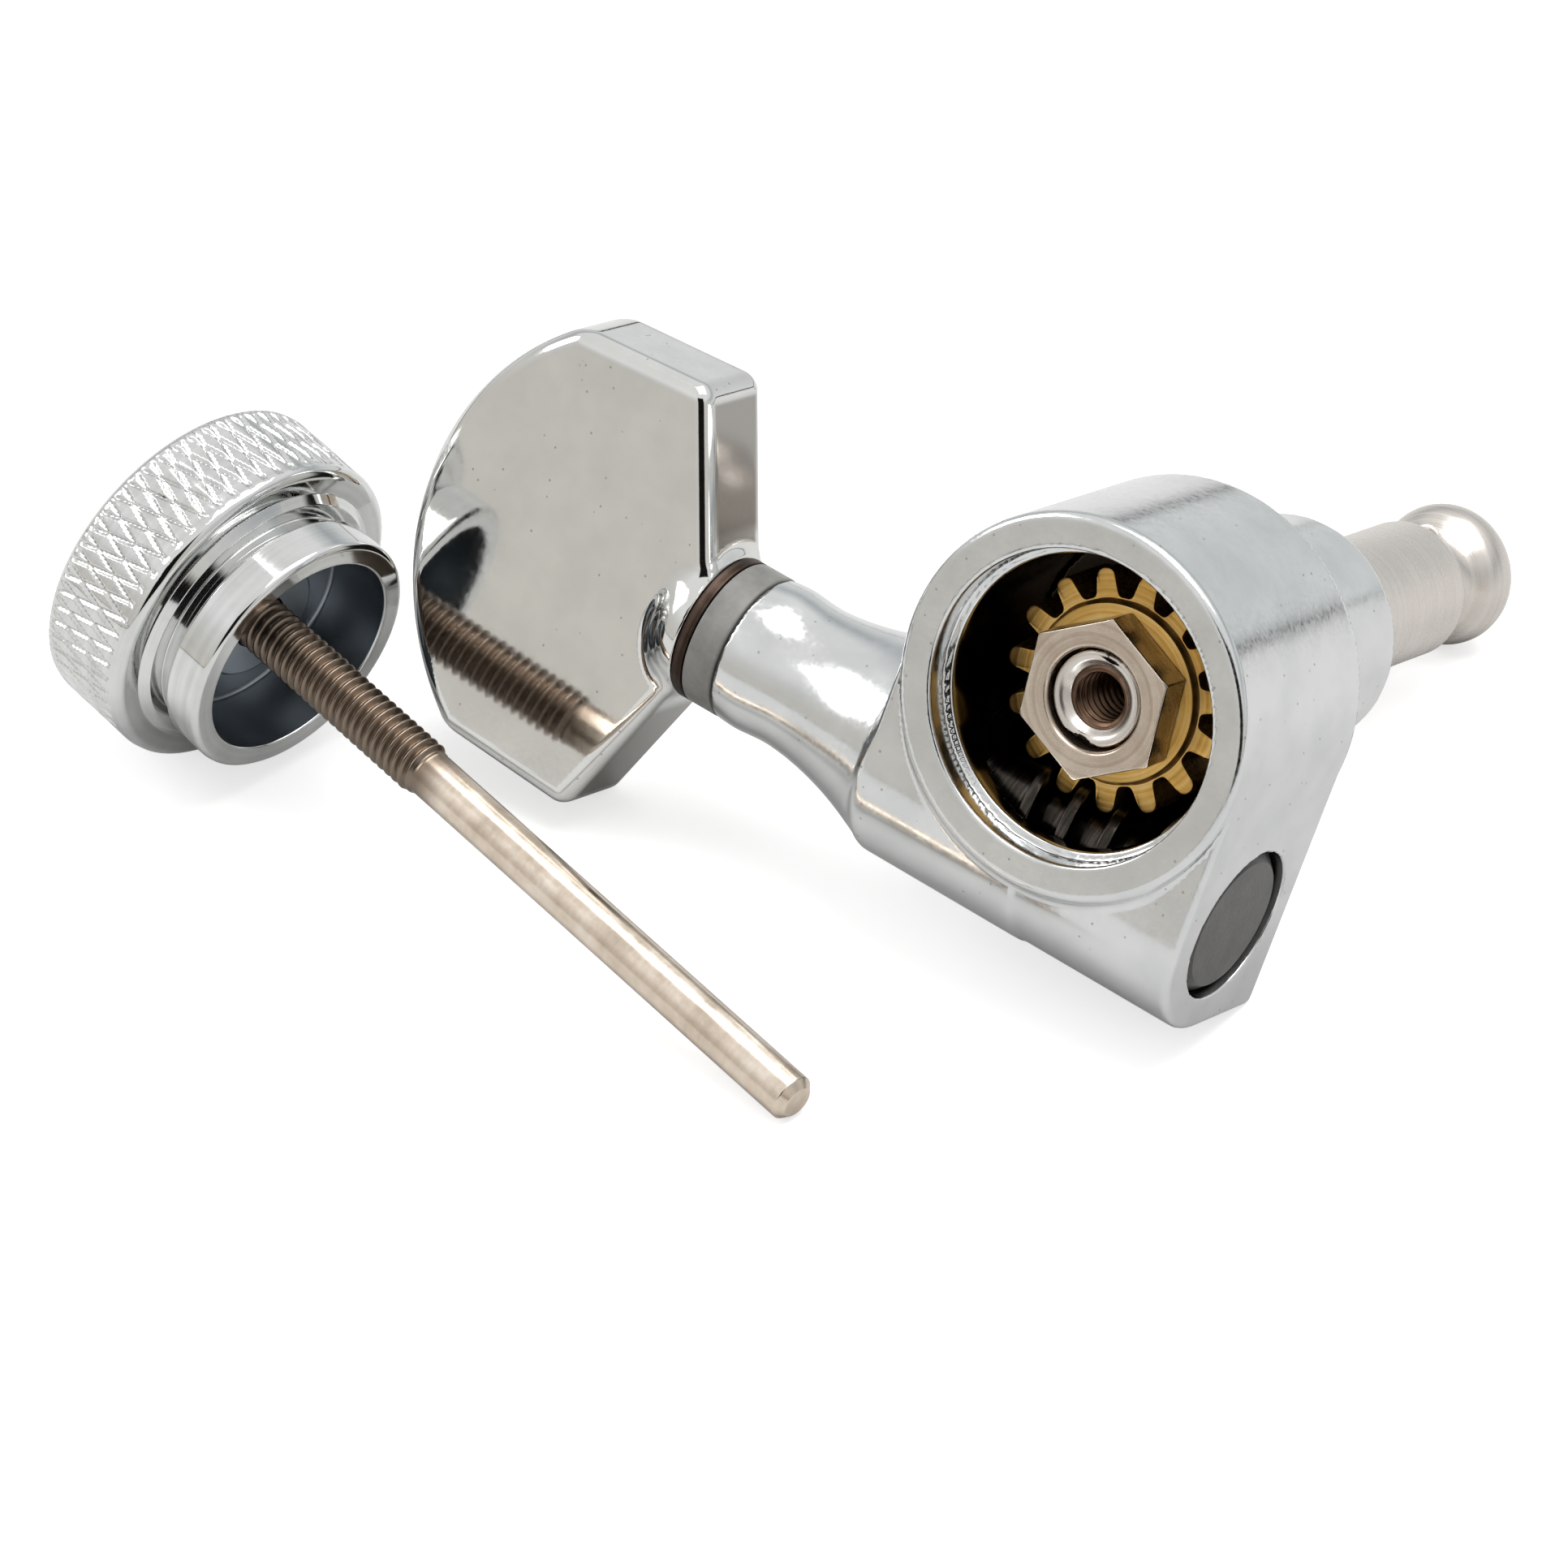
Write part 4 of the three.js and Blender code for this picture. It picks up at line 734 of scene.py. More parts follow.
# Brown as old copper, dull, with light only on the thread's crests.
bare_brass = metal_finish(
    "bare_tapped_brass",
    ("#473830", "#6c5545", "#9c7f69"),
    roughness=0.35,
    rings=4.0,
    streaks=0.4,
    bump=0.3,
)
tap_mesh = woven(
    "post_tapping",
    turned_place(post_line, wall, down, turn),
    None,
    True,
    True,
    np.stack([wall, down, np.cos(turn)], -1),
)
show("post_tapping", tap_mesh, bare_brass, "post", "satin_nickel")


# Worm wheel: brass, its fifteen teeth cut with a hob and set over by the worm's lead, faces turned.
TEETH, WHEEL_TIP, WHEEL_ROOT, WHEEL_FACE, WHEEL_WIDTH = 15, 5.15, 3.95, 3.95, 2.9
WHEEL_BORE, WHEEL_HUB, WHEEL_RISE, WHEEL_PHASE, WHEEL_SETOVER = 2.11, 3.9, 0.35, 19.6, 0.0272
# A tooth's outline from the middle of a gap to the middle of a tooth, in shares of the pitch: its
# height there in shares of the way from root to tip.
gap_up = np.array([0, 0, 0.05, 0.16, 0.3, 0.5, 0.75, 0.88, 0.95, 1, 1])
gap_half = np.array([0, 0.1, 0.17, 0.215, 0.235, 0.262, 0.29, 0.33, 0.38, 0.45, 0.5])
COLUMNS_TO_TOOTH, WHEEL_SHARP = 40, math.radians(32)
turn = np.linspace(0, 2 * math.pi, TEETH * COLUMNS_TO_TOOTH, endpoint=False)
from_gap = (np.degrees(turn) - WHEEL_PHASE) / 360 * TEETH - 0.5
from_gap = np.abs(from_gap - np.round(from_gap))
tip = WHEEL_ROOT + (WHEEL_TIP - WHEEL_ROOT) * np.interp(from_gap, gap_half, gap_up)
front = WHEEL_FACE + WHEEL_WIDTH
# Around the section: bore, raised hub, rear face, tooth, front face. A share above zero is a share
# of the way from the hub to the teeth's outline; at zero the radius is fixed.
section = [
    (0, WHEEL_BORE, front - 0.05),
    (0, WHEEL_BORE, WHEEL_FACE - WHEEL_RISE + 0.05),
    (0, WHEEL_BORE + 0.05, WHEEL_FACE - WHEEL_RISE),
    (0, WHEEL_HUB - 0.22, WHEEL_FACE - WHEEL_RISE),
    (0, WHEEL_HUB - 0.16, WHEEL_FACE - WHEEL_RISE + 0.03),
    (0, WHEEL_HUB - 0.02, WHEEL_FACE - 0.03),
    (0.02, 0, WHEEL_FACE),
    (0.9, 0, WHEEL_FACE),
    (0.985, 0, WHEEL_FACE + 0.03),
    (1, 0, WHEEL_FACE + 0.11),
    (1, 0, front - 0.11),
    (0.985, 0, front - 0.03),
    (0.9, 0, front),
    (0, WHEEL_HUB - 0.5, front),
    (0, WHEEL_BORE + 0.05, front),
]
share, fixed, along = (np.array(column)[:, None] for column in zip(*section))
out = np.where(share > 0, WHEEL_HUB + share * (tip - WHEEL_HUB), fixed)
along = along + 0 * out
leaning = turn - WHEEL_SETOVER * (along - WHEEL_FACE - WHEEL_WIDTH / 2)
# The wheel's angles run from the tuner's X towards its Z.
wheel_line = (tuner_foot, tuner_turn[1], tuner_turn[0], tuner_turn[2])
wheel_mesh = woven(
    "worm_wheel_cut",
    turned_place(wheel_line, out, along, leaning),
    None,
    True,
    True,
    np.stack([out, along, np.cos(turn) + 0 * out], -1),
)
wheel_mesh.set_sharp_from_angle(angle=WHEEL_SHARP)
# Golden yellow, its turned faces ringed by the tool so that light fans out over them.
machined_brass = metal_finish(
    "machined_brass",
    ("#b48b45", "#d6ab60", "#ebc988"),
    roughness=0.34,
    rings=6.0,
    streaks=0.65,
    bump=0.4,
)
show("worm_wheel_cut", wheel_mesh, machined_brass, "post", "brass", "worm_wheel")


# Wheel nut: hexagon turned from brass bar, faced with a single-point tool and nickel-plated.
NUT_CORNER, NUT_REAR, NUT_FRONT, NUT_PHASE, NUT_BORE = 3.59, 1.95, 3.55, math.radians(36.8), 2.17
FLAT_EDGE, REAR_EDGE, FRONT_EDGE, NUT_SQUARE = 0.05, 0.08, 0.06, 0.06
NUT_BORE_SINK, BAR_CHAMFER = 0.15, 0.12


def nut_field(p):
    """Signed distance of the nut: three pairs of flats, the bar's chamfer, less the bore."""
    x, y, z = p.T
    from_post = np.hypot(x, z)
    flat = NUT_CORNER * math.cos(math.pi / 6)
    pairs = [
        np.abs(x * math.cos(NUT_PHASE + turn) + z * math.sin(NUT_PHASE + turn)) - flat
        for turn in math.pi / 6 + math.pi / 3 * np.arange(3)
    ]
    hexagon = round_cut(round_cut(pairs[0], pairs[1], FLAT_EDGE), pairs[2], FLAT_EDGE)
    chamfer = 0.6 * (from_post - NUT_CORNER + BAR_CHAMFER - 1.4 * (y - NUT_REAR))
    body = round_cut(np.maximum(hexagon, chamfer), NUT_REAR - y, REAR_EDGE)
    body = round_cut(body, y - NUT_FRONT, FRONT_EDGE)
    bore = from_post - NUT_BORE - 0.7 * np.maximum(NUT_REAR + NUT_BORE_SINK - y, 0)
    return round_cut(body, -bore, FLAT_EDGE)


# Pinkish grey nickel over brass, the facing tool's fine rings still in it.
faced_nickel = metal_finish(
    "faced_nickel_plate",
    ("#bcac9c", "#cbbdae", "#d8ccbf"),
    roughness=0.25,
    rings=6.0,
    streaks=0.6,
    bump=0.25,
)
nut_mesh = cast_skin("wheel_nut_turned", "wheel_nut", nut_field, NUT_SQUARE, True)
show("wheel_nut_turned", nut_mesh, faced_nickel, "post", "satin_nickel", "wheel_nut")


# Worm shaft: carbon steel, turned and thread-cut in one with its worm, blued dark and oiled.
def rounded_path(corners, steps=5, closed=False):
    """Outline through [along, out, round] corners. Each corner gives way to an arc of its round,
    tangent to both sides. Returns the points and their normals, which turn with the arcs."""
    corners = np.array(corners, float)
    places, rounds = corners[:, :2], corners[:, 2]
    back, ahead = np.roll(places, 1, 0) - places, np.roll(places, -1, 0) - places
    if not closed:
        back[0], ahead[-1] = -ahead[0], -back[-1]
    long_back, long_ahead = np.linalg.norm(back, axis=1), np.linalg.norm(ahead, axis=1)
    back, ahead = back / long_back[:, None], ahead / long_ahead[:, None]
    half = np.arccos(np.clip((back * ahead).sum(1), -1, 1)) / 2
    cut = np.minimum(rounds / np.tan(half), 0.49 * np.minimum(long_back, long_ahead))
    # The normal is on the travel's left; it turns from the side behind to the side ahead.
    normal_in = np.stack([back[:, 1], -back[:, 0]], 1)
    normal_out = np.stack([-ahead[:, 1], ahead[:, 0]], 1)
    start = np.arctan2(normal_in[:, 1], normal_in[:, 0])
    sweep = np.arctan2(normal_out[:, 1], normal_out[:, 0]) - start
    sweep = (sweep + math.pi) % (2 * math.pi) - math.pi
    turn = start[:, None] + sweep[:, None] * np.linspace(0, 1, steps)
    normals = np.stack([np.cos(turn), np.sin(turn)], -1)
    bulge = (-np.sign(sweep) * cut * np.tan(half))[:, None, None]
    points = (places + back * cut[:, None])[:, None] + bulge * (normals - normals[:, :1])
    points, normals = points.reshape(-1, 2), normals.reshape(-1, 2)
    if not closed:
        ends = slice(steps - 1, len(points) - steps + 1)
        points, normals = points[ends], normals[ends]
    return points, normals


def turned_skin(name, line, corners, columns=96, closed=False):
    """Turned shape: the rounded outline through [along, out, round] corners, carried round a line.
    The outline travels with the metal on its right."""
    path, tilt = rounded_path(corners, closed=closed)
    along, turn = np.meshgrid(
        path[:, 0], np.linspace(0, 2 * math.pi, columns, endpoint=False), indexing="ij"
    )
    out = path[:, 1:] + 0 * along
    _, axis, up, side = line
    radial = np.cos(turn)[..., None] * up + np.sin(turn)[..., None] * side
    normals = tilt[:, None, :1] * axis + tilt[:, None, 1:] * radial
    places = np.stack([out, along, np.cos(turn + 0.6)], -1)
    return woven(name, turned_place(line, out, along, turn), normals, True, closed, places)


SHAFT_RADIUS, SHAFT_END_RADIUS, SHAFT_END, JOURNAL_RADIUS, JOURNAL_END = 1.9, 1.7, -28.8, 1.5, 6.3
WORM_RADIUS, WORM_CORE, WORM_HALF_LENGTH, WORM_LEAD, CREST_AT_TOP = 3.0, 1.8, 4.3, 1.906, 0.127
# Near black and wet-looking; only the crests catch a bright line.
blued_steel = metal_finish(
    "oiled_blued_steel",
    ("#25221f", "#3d3935", "#5c5752"),
    roughness=0.2,
    rings=6.0,
    streaks=0.6,
    bump=0.4,
)
shaft_mesh = turned_skin(
    "worm_shaft_turned",
    worm_line,
    [
        (SHAFT_END, 0, 0),
        (SHAFT_END, SHAFT_END_RADIUS, 0.3),
        (HUB_FACE + 0.05, SHAFT_END_RADIUS, 0.02),
        (HUB_FACE + 0.05, SHAFT_RADIUS, 0.02),
        (-WORM_HALF_LENGTH, SHAFT_RADIUS, 0.05),
        (-WORM_HALF_LENGTH, WORM_CORE, 0.02),
        (WORM_HALF_LENGTH, WORM_CORE, 0.1),
        (WORM_HALF_LENGTH, JOURNAL_RADIUS, 0.02),
        (JOURNAL_END, JOURNAL_RADIUS, 0.1),
        (JOURNAL_END, 0, 0),
    ],
    64,
)
show(
    "worm_shaft_turned", shaft_mesh, blued_steel, "worm_and_button", "dark_steel", "worm_shaft"
)
THREAD_FOOT, FOOT_HALF, CREST_HALF, CREST_ROUND = 1.3, 0.55, 0.25, 0.08
ridge, _ = rounded_path(
    [
        (-FOOT_HALF, THREAD_FOOT, 0.02),
        (-CREST_HALF, WORM_RADIUS, CREST_ROUND),
        (CREST_HALF, WORM_RADIUS, CREST_ROUND),
        (FOOT_HALF, THREAD_FOOT, 0.02),
    ],
    5,
    True,
)
THREAD_RUN, THREAD_ROWS, THREAD_SINK = WORM_HALF_LENGTH - 0.95, 400, 0.3
climb = np.linspace(-THREAD_RUN, THREAD_RUN, THREAD_ROWS)[:, None]
# The ridge sinks into the core over the last sixth of a turn at each end.
sink = np.clip((THREAD_RUN - np.abs(climb)) / THREAD_SINK, 0, 1) ** 0.5
out = THREAD_FOOT + (ridge[:, 1] - THREAD_FOOT) * sink
along = climb + ridge[:, 0]
turn = 2 * math.pi * (climb - CREST_AT_TOP) / WORM_LEAD + 0 * along
# The worm's angles run from the tuner's Z towards its -Y, and a crest stands at Z.
thread_line = (worm_line[0], tuner_turn[0], tuner_turn[2], -tuner_turn[1])
points = turned_place(thread_line, out, along, turn)
caps = points[[0, -1]].mean(1, keepdims=True) + 0 * points[[0, -1]]
points = np.concatenate([caps[:1], points, caps[1:]])
places = np.stack([out, along, np.cos(turn)], -1)
thread_mesh = woven(
    "worm_thread_cut", points, None, True, False, places[[0, *range(len(places)), -1]]
)
THREAD_SHARP = math.radians(40)
thread_mesh.set_sharp_from_angle(angle=THREAD_SHARP)
show("worm_thread_cut", thread_mesh, blued_steel, "worm_and_button", "dark_steel")


# Locking knob: brass, its rim diamond-knurled before chrome-plating, its face, ring, groove and
# hollow spigot turned. The spigot enters the case's rim; the pin is screwed into its middle.
KNOB_RADIUS, KNOB_LENGTH, KNOB_RING, KNOB_RING_TOP, RING_END = 7.55, 4.94, 6.35, 6.0, 5.29
GROOVE_RADIUS, GROOVE_END, SPIGOT_RADIUS, SPIGOT_END = 5.35, 6.04, 5.83, 8.04
SPIGOT_BORE, SPIGOT_FLOOR, BOSS_RADIUS, BOSS_END = 4.78, 4.64, 2.9, 5.44
SOCKET_RADIUS, SOCKET_FLOOR, DISH_RADIUS, DISH_DEPTH = 1.28, 1.2, 5.0, 0.4
KNOB_EDGE, KNOB_FRONT_EDGE, KNURLS_ROUND, KNURL_LENGTH, KNURL_DEPTH = 0.6, 0.5, 58, 2.76, 0.13
ROWS_TO_KNURL, COLUMNS_TO_KNURL = 36, 12
path, tilt = rounded_path(
    [
        (DISH_DEPTH, 0, 0),
        (DISH_DEPTH, DISH_RADIUS - DISH_DEPTH, 0.15),
        (0, DISH_RADIUS, 0.15),
        (0, KNOB_RADIUS, KNOB_EDGE),
        (KNOB_LENGTH, KNOB_RADIUS, KNOB_FRONT_EDGE),
        (KNOB_LENGTH, KNOB_RING, 0.08),
        (RING_END, KNOB_RING_TOP, 0.1),
        (RING_END, GROOVE_RADIUS, 0.08),
        (GROOVE_END, GROOVE_RADIUS, 0.08),
        (GROOVE_END, SPIGOT_RADIUS, 0.22),
        (SPIGOT_END, SPIGOT_RADIUS, 0.3),
        (SPIGOT_END, SPIGOT_BORE, 0.12),
        (SPIGOT_FLOOR, SPIGOT_BORE, 0.2),
        (SPIGOT_FLOOR, BOSS_RADIUS, 0.1),
        (BOSS_END, BOSS_RADIUS, 0.25),
        (BOSS_END, SOCKET_RADIUS, 0.05),
        (SOCKET_FLOOR, SOCKET_RADIUS, 0.05),
        (SOCKET_FLOOR, 0, 0),
    ],
    4,
)
# Rows are added along the rim between its rounded edges.
EDGE_GAP, NEXT_EDGE_GAP, AT_RIM = 0.02, 0.05, 1e-3
rim_to = KNOB_LENGTH - KNOB_FRONT_EDGE - NEXT_EDGE_GAP
rim_rows = np.arange(KNOB_EDGE + EDGE_GAP, rim_to, KNURL_LENGTH / ROWS_TO_KNURL)
first = int(np.argmax(path[:, 1] > KNOB_RADIUS - AT_RIM)) + 1
path = np.insert(path, first, np.stack([rim_rows, 0 * rim_rows + KNOB_RADIUS], 1), axis=0)
tilt = np.insert(tilt, first, np.tile([0.0, 1.0], (len(rim_rows), 1)), axis=0)
turn = np.linspace(0, 2 * math.pi, KNURLS_ROUND * COLUMNS_TO_KNURL, endpoint=False)
along, turn = np.meshgrid(path[:, 0], turn, indexing="ij")
# The band starts and ends a fraction of a millimetre inside the edges. A groove takes the middle
# third of a diamond's width, and the pillow between falls off slightly towards it.
BAND_FROM, BAND_IN, BAND_TO, BAND_OUT = 0.4, 0.3, 4.45, 0.35
GROOVE_SHARE, PILLOW_SHARE = 0.85, 0.15


def knurl(along, turn):
    """Height of the rim's knurling: two families of slanting V grooves, the deeper of the two at
    each place, between pillows, fading out at the band's ends."""
    rise, around = along / KNURL_LENGTH, turn * KNURLS_ROUND / (2 * math.pi)
    grooves = [2 * np.abs(p - np.floor(p) - 0.5) for p in (around + rise, around - rise)]
    band = np.clip((along - BAND_FROM) / BAND_IN, 0, 1)
    band = band * np.clip((BAND_TO - along) / BAND_OUT, 0, 1)
    deep = np.maximum(*grooves)
    dip = GROOVE_SHARE * np.clip(deep * 3 - 2, 0, 1) + PILLOW_SHARE * deep**2
    return -KNURL_DEPTH * band * dip


RIM_DEPTH, RIM_END_GAP = 0.1, 0.4
on_rim = (path[:, 1] > KNOB_RADIUS - RIM_DEPTH) & (path[:, 0] < KNOB_LENGTH - RIM_END_GAP)
on_rim = on_rim[:, None]
out = path[:, 1:] + np.where(on_rim, knurl(along, turn), 0)
NUDGE, NUDGE_TURN = 0.01, 0.002
lean = (knurl(along + NUDGE, turn) - knurl(along - NUDGE, turn)) / (2 * NUDGE)
veer = knurl(along, turn + NUDGE_TURN) - knurl(along, turn - NUDGE_TURN)
veer = veer / (2 * NUDGE_TURN * KNOB_RADIUS)
lean, veer = (np.where(on_rim, slope, 0)[..., None] for slope in (lean, veer))
in_spigot = (along > SPIGOT_FLOOR - 0.1) & (along < SPIGOT_END - 0.1)
_, axis, up, side = pin_line
radial = np.cos(turn)[..., None] * up + np.sin(turn)[..., None] * side
sideways = -np.sin(turn)[..., None] * up + np.cos(turn)[..., None] * side
normals = (tilt[:, None, :1] - lean) * axis + tilt[:, None, 1:] * radial - veer * sideways
knob_mesh = woven(
    "lock_knob_turned",
    turned_place(pin_line, out, along, turn),
    normals / np.linalg.norm(normals, axis=-1, keepdims=True),
    True,
    False,
    np.stack([out, along, np.cos(turn + 0.6)], -1),
    (out < SPIGOT_BORE + 0.02) & in_spigot,
)
# Chrome over turned brass: crisp bright and dark bands round it; bluish grey and dull in the hollow.
knob_chrome = metal_finish(
    "turned_chrome_plate",
    ("#cdcecd", "#d9dad9", "#e0e1e0"),
    roughness=0.065,
    rings=3.0,
    streaks=0.6,
    bump=0.1,
    second=("#959ba1", 0.3),
)
show("lock_knob_turned", knob_mesh, knob_chrome, "lock", "chrome_plate", "lock_knob")


# Locking pin: steel, threaded to fit the post's tapping, tarnished to a warm grey and worn brown
# along the thread.
PIN_CREST, PIN_ROOT, PIN_PITCH, THREAD_END, NECK_TO = 1.25, 1.0, 0.45, 16.1, 18.3
PIN_RADIUS, PIN_LENGTH, PIN_CHAMFER, PIN_TIP_ROUND = 1.05, 39.6, 0.35, 0.1
PIN_COLUMNS, ROWS_TO_PITCH, PIN_SEAT_GAP, THREAD_FADE, BROWN_FADE = 48, 12, 0.1, 0.5, 1.5
# A power below one widens the thread's crests and narrows its grooves.
CREST_POWER = 0.75
along = np.arange(SOCKET_FLOOR + PIN_SEAT_GAP, NECK_TO, PIN_PITCH / ROWS_TO_PITCH)
turn = np.linspace(0, 2 * math.pi, PIN_COLUMNS, endpoint=False)
along, turn = np.meshgrid(along, turn, indexing="ij")


def pin_radius(along, turn):
    """The pin's radius: a rounded thread that climbs one pitch a turn and runs out into the neck."""
    wave = 0.5 + 0.5 * np.cos(2 * math.pi * (along / PIN_PITCH - turn / (2 * math.pi)))
    thread = PIN_ROOT + (PIN_CREST - PIN_ROOT) * wave**CREST_POWER
    return thread + (PIN_RADIUS - thread) * np.clip((along - THREAD_END) / THREAD_FADE, 0, 1)


tip, tip_tilt = rounded_path(
    [
        (NECK_TO, PIN_RADIUS, 0),
        (PIN_LENGTH - PIN_CHAMFER, PIN_RADIUS, PIN_TIP_ROUND),
        (PIN_LENGTH, PIN_RADIUS - PIN_CHAMFER, PIN_TIP_ROUND),
        (PIN_LENGTH, 0, 0),
    ],
    4,
)
out = pin_radius(along, turn)
lean = pin_radius(along - NUDGE / 2, turn) - pin_radius(along + NUDGE / 2, turn)
ends = np.zeros((1, PIN_COLUMNS))
tip_out, tip_along = tip[:, 1:] + 0 * ends, tip[:, :1] + 0 * ends
out = np.concatenate([ends, out, tip_out])
lean = np.concatenate([ends - 1, lean / NUDGE, tip_tilt[:, :1] + 0 * ends])
swell = np.concatenate([ends, 0 * along + 1, tip_tilt[:, 1:] + 0 * ends])
along = np.concatenate([along[:1], along, tip_along])
turn = turn[:1] + 0 * along
radial = np.cos(turn)[..., None] * up + np.sin(turn)[..., None] * side
normals = lean[..., None] * axis + swell[..., None] * radial
pin_mesh = woven(
    "lock_pin_threaded",
    turned_place(pin_line, out, along, turn),
    normals / np.linalg.norm(normals, axis=-1, keepdims=True),
    True,
    False,
    np.stack([out, along, np.cos(turn)], -1),
    np.clip((NECK_TO - along) / BROWN_FADE, 0, 1),
)
# Champagne grey with darker clouds on the plain part, dull brown on the thread.
tarnished = metal_finish(
    "tarnished_nickel",
    ("#cbbcab", "#dccdbd", "#e8ddd1"),
    roughness=0.2,
    rings=1.2,
    streaks=0.35,
    bump=0.15,
    second=("#85776a", 0.3),
)
show("lock_pin_threaded", pin_mesh, tarnished, "lock", "tarnished_nickel", "lock_pin")


# Plug, spacer, washers, bush and dowels: plain turned or stamped rings with their edges broken.
# To a millimetre: the polymer's slow drift of tint and its orange peel.
DRIFTS_TO_MM, PEELS_TO_MM = 0.9, 6


def moulded_finish(name, tints, roughness, grain):
    """Moulded polymer: a faint orange-peel grain, and a slow drift between close tints."""
    made, tree = finish(name)
    where = add(tree, "TexCoord").outputs["Object"]
    slow, quick = MM_IN_METRE * DRIFTS_TO_MM, MM_IN_METRE * PEELS_TO_MM
    drift = add(tree, "TexNoise", Vector=where, Scale=slow, Detail=3.0, Roughness=0.6)
    peel = add(tree, "TexNoise", Vector=where, Scale=quick, Detail=2.0, Roughness=0.5)
    colour = shades(tree, drift.outputs[0], [(0.35, tints[0]), (0.65, tints[1])])
    rough = add(
        tree,
        "MapRange",
        Value=peel.outputs[0],
        To_Min=0.75 * roughness,
        To_Max=1.25 * roughness,
    )
    uneven = add(tree, "Bump", Strength=grain, Distance=0.00003, Height=peel.outputs[0])
    shader = add(
        tree,
        "BsdfPrincipled",
        Base_Color=colour,
        Metallic=0.0,
        Roughness=rough.outputs[0],
        Normal=uneven.outputs[0],
    )
    add(tree, "OutputMaterial", Surface=shader.outputs[0])
    return made


# Polymers with a soft broad sheen: the spacer mid grey, the plug charcoal and a little glossier, and
# the bearing bush and the screw's washer ivory.
grey_polymer = moulded_finish("grey_moulded_polymer", ("#6f6e6b", "#7f7e7b"), 0.42, 0.3)
dark_polymer = moulded_finish("dark_pressed_plug", ("#403f3d", "#4d4c49"), 0.33, 0.3)
pale_polymer = moulded_finish("pale_moulded_polymer", ("#d2ccbe", "#ddd8cc"), 0.45, 0.3)
# Bare steel, grey and finely scored, and spring steel browned by its heat treatment.
bright_steel = metal_finish(
    "bright_stamped_steel",
    ("#8f8d89", "#a9a7a3", "#c4c2be"),
    roughness=0.3,
    rings=5.0,
    streaks=0.6,
    bump=0.4,
)
brown_steel = metal_finish(
    "browned_spring_steel",
    ("#2a211c", "#3b302a", "#564840"),
    roughness=0.4,
    rings=6.0,
    streaks=0.5,
    bump=0.4,
)
BORE_EDGE = 0.04
# Each ring's node, its line, its two faces' places, its bore, its radius and its broken edge.
rings = [
    ("neck_spacer", worm_line, -18.2, -16.75, 1.96, 3.3, 0.1),
    ("spring_washer", worm_line, -18.75, -18.25, 1.96, 3.3, 0.06),
    ("worm_washer_neck", worm_line, -6.25, -5.65, 1.96, 3.37, 0.05),
    ("worm_washer_plug", worm_line, 4.3, 4.9, 1.56, 3.37, 0.05),
    ("wheel_washer", post_line, 7.65, 8.25, 3.06, 4.5, 0.05),
    ("post_bush", post_line, 8.35, 11.65, 3.06, 3.56, 0.05),
    ("screw_washer", worm_line, -31.65, -31.25, 1.16, 1.9, 0.05),
]
ring_finish = {
    "neck_spacer": (grey_polymer, "case", "grey_polymer"),
    "spring_washer": (brown_steel, "worm_and_button", "spring_steel"),
    "worm_washer_neck": (bright_steel, "case", "bright_steel"),
    "worm_washer_plug": (bright_steel, "case", "bright_steel"),
    "wheel_washer": (bright_steel, "case", "bright_steel"),
    "post_bush": (pale_polymer, "case", "pale_polymer"),
    "screw_washer": (pale_polymer, "worm_and_button", "pale_polymer"),
}
for name, line, near, far, bore, radius, broken in rings:
    corners = [(near, bore, BORE_EDGE), (near, radius, broken)]
    corners += [(far, radius, broken), (far, bore, BORE_EDGE)]
    ring_mesh = turned_skin(name + "_ring", line, corners, closed=True)
    material, body, slot = ring_finish[name]
    show(name + "_ring", ring_mesh, material, body, slot, name)

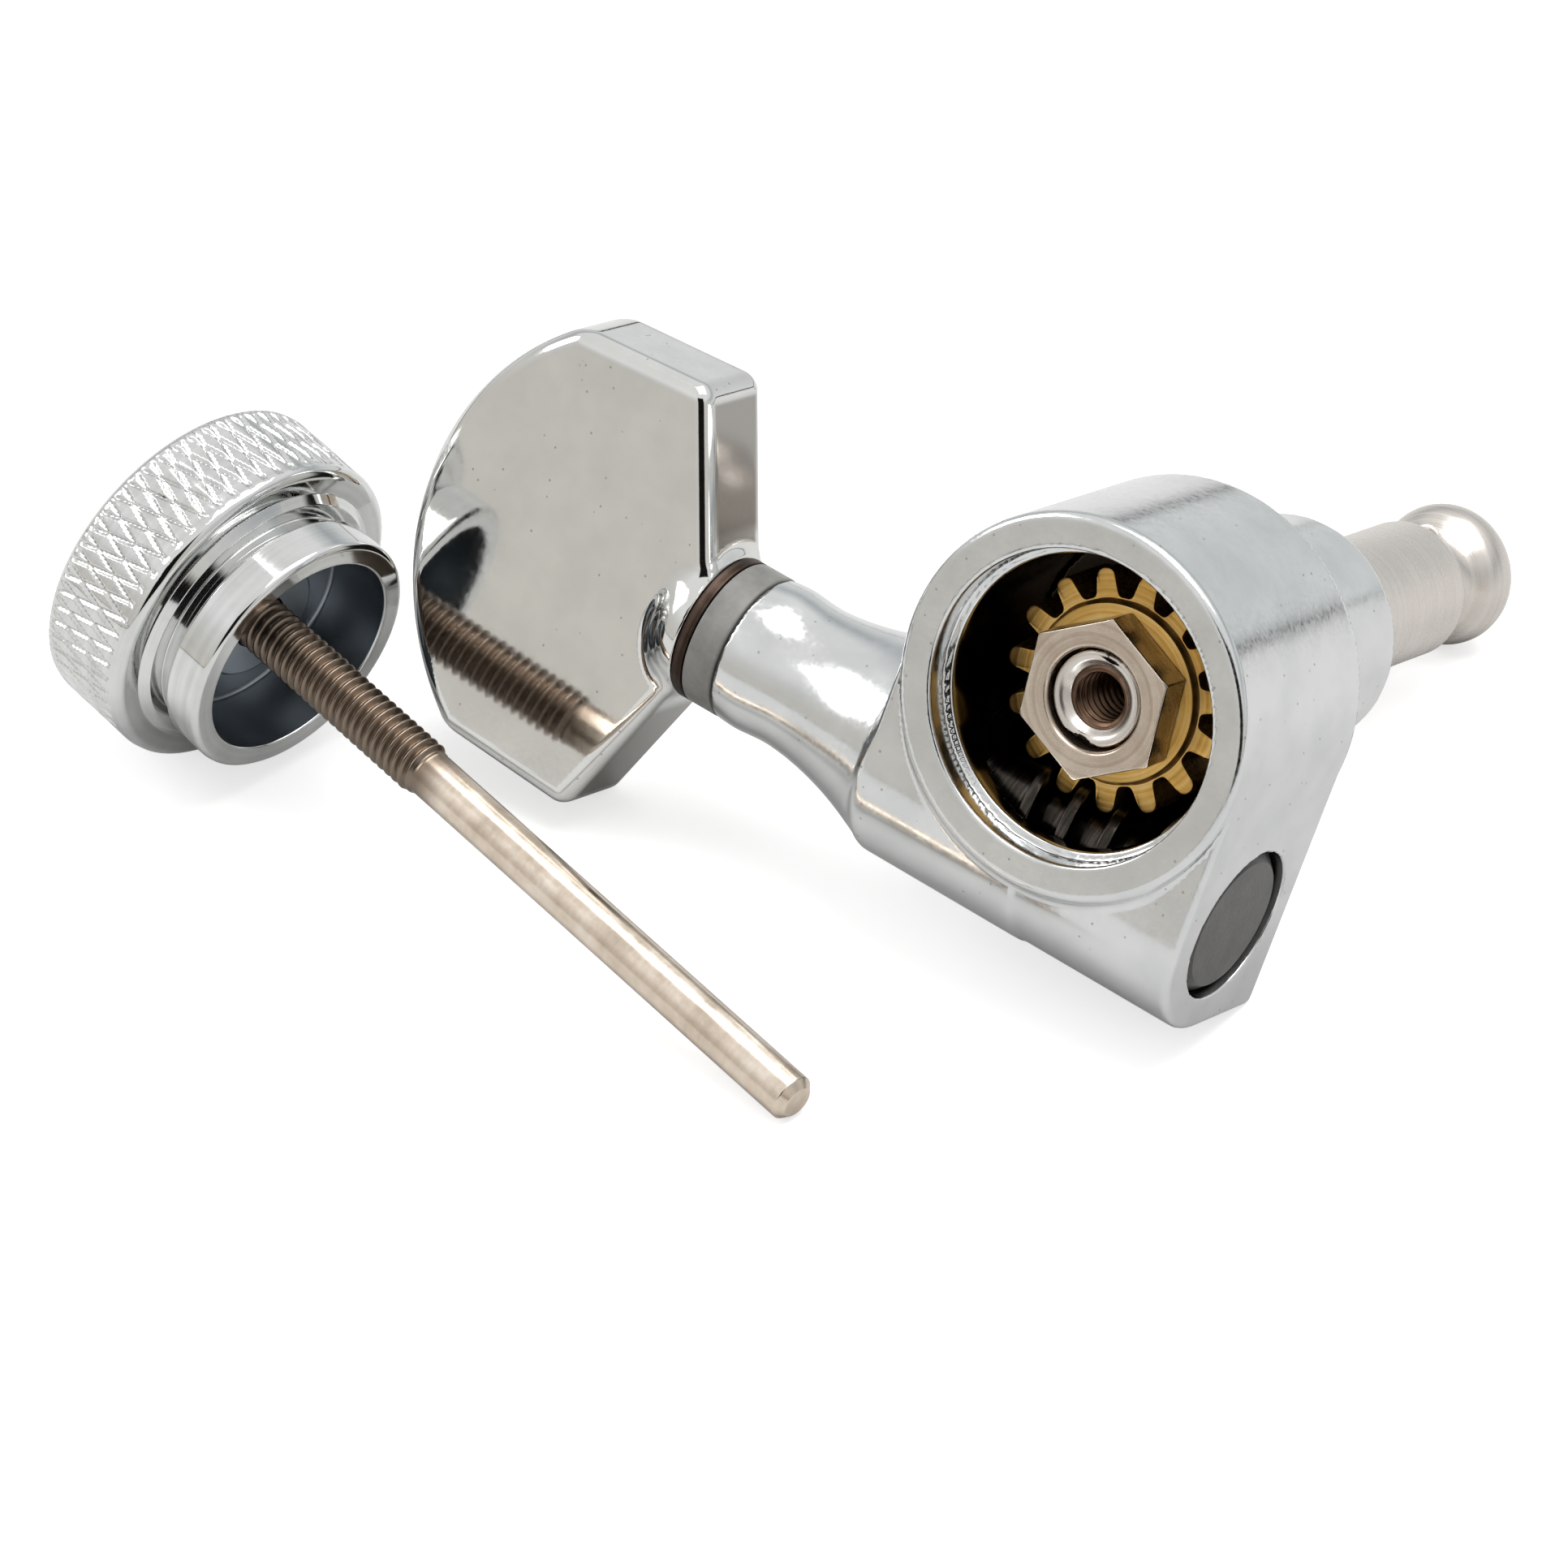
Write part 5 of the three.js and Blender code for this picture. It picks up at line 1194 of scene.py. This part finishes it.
PLUG_INNER, PLUG_FACE, PLUG_RADIUS, PLUG_BEARING, PLUG_BORE = 4.95, 7.95, 3.37, 6.35, 1.56
PLUG_CHAMFER = 0.5
plug_mesh = turned_skin(
    "end_plug_pressed",
    worm_line,
    [
        (PLUG_BEARING, 0, 0),
        (PLUG_BEARING, PLUG_BORE, 0.03),
        (PLUG_INNER, PLUG_BORE, 0.03),
        (PLUG_INNER, PLUG_RADIUS, 0.05),
        (PLUG_FACE - PLUG_CHAMFER, PLUG_RADIUS, 0.03),
        (PLUG_FACE, PLUG_RADIUS - PLUG_CHAMFER, 0.06),
        (PLUG_FACE, 0, 0),
    ],
)
show("end_plug_pressed", plug_mesh, dark_polymer, "case", "dark_polymer", "end_plug")
DOWEL_FROM, DOWEL_TO, DOWEL_RADIUS, DOWEL_TIP_ROUND = 9.1, 11.7, 0.8, 0.25
for name, place in [("locating_pin_left", -DOWEL_PLACE), ("locating_pin_right", DOWEL_PLACE)]:
    dowel_line = axle(on_tuner(np.array([place, 0, 0])), tuner_turn[1], tuner_turn[2])
    corners = [(DOWEL_FROM, 0, 0), (DOWEL_FROM, DOWEL_RADIUS, 0.05)]
    corners += [(DOWEL_TO, DOWEL_RADIUS, DOWEL_TIP_ROUND), (DOWEL_TO, 0, 0)]
    dowel_mesh = turned_skin(name + "_dowel", dowel_line, corners, 48)
    show(name + "_dowel", dowel_mesh, bright_steel, "case", "bright_steel", name)


# Button screw: slotted cheese head in the arc's recess, nickel-plated steel. Its places along the
# worm's line run from the head's end to the shank's.
HEAD_END, HEAD_SEAT, SHANK_FROM, SHANK_END, SLOT_FLOOR = -33.0, -31.7, -31.9, -24.3, -32.4
HEAD_RADIUS, SHANK_RADIUS, SLOT_HALF = 1.9, 1.1, 0.25
HEAD_ROUND, SLOT_EDGE, SCREW_SQUARE = 0.2, 0.04, 0.08


def screw_field(p):
    """Signed distance of the screw: shank and head about the worm's line, less the slot."""
    x, y, z = p.T
    from_worm = np.hypot(y - WORM_DEPTH, z + WORM_DROP)
    head = round_cut(from_worm - HEAD_RADIUS, HEAD_END - x, HEAD_ROUND)
    head = np.maximum(head, x - HEAD_SEAT)
    shank = np.maximum(from_worm - SHANK_RADIUS, np.maximum(x - SHANK_END, SHANK_FROM - x))
    slot = np.maximum(np.abs(y - WORM_DEPTH) - SLOT_HALF, x - SLOT_FLOOR)
    return round_cut(np.minimum(head, shank), -slot, SLOT_EDGE)


screw_mesh = cast_skin("button_screw_slotted", "button_screw", screw_field, SCREW_SQUARE)
show(
    "button_screw_slotted",
    screw_mesh,
    faced_nickel,
    "worm_and_button",
    "satin_nickel",
    "button_screw",
)
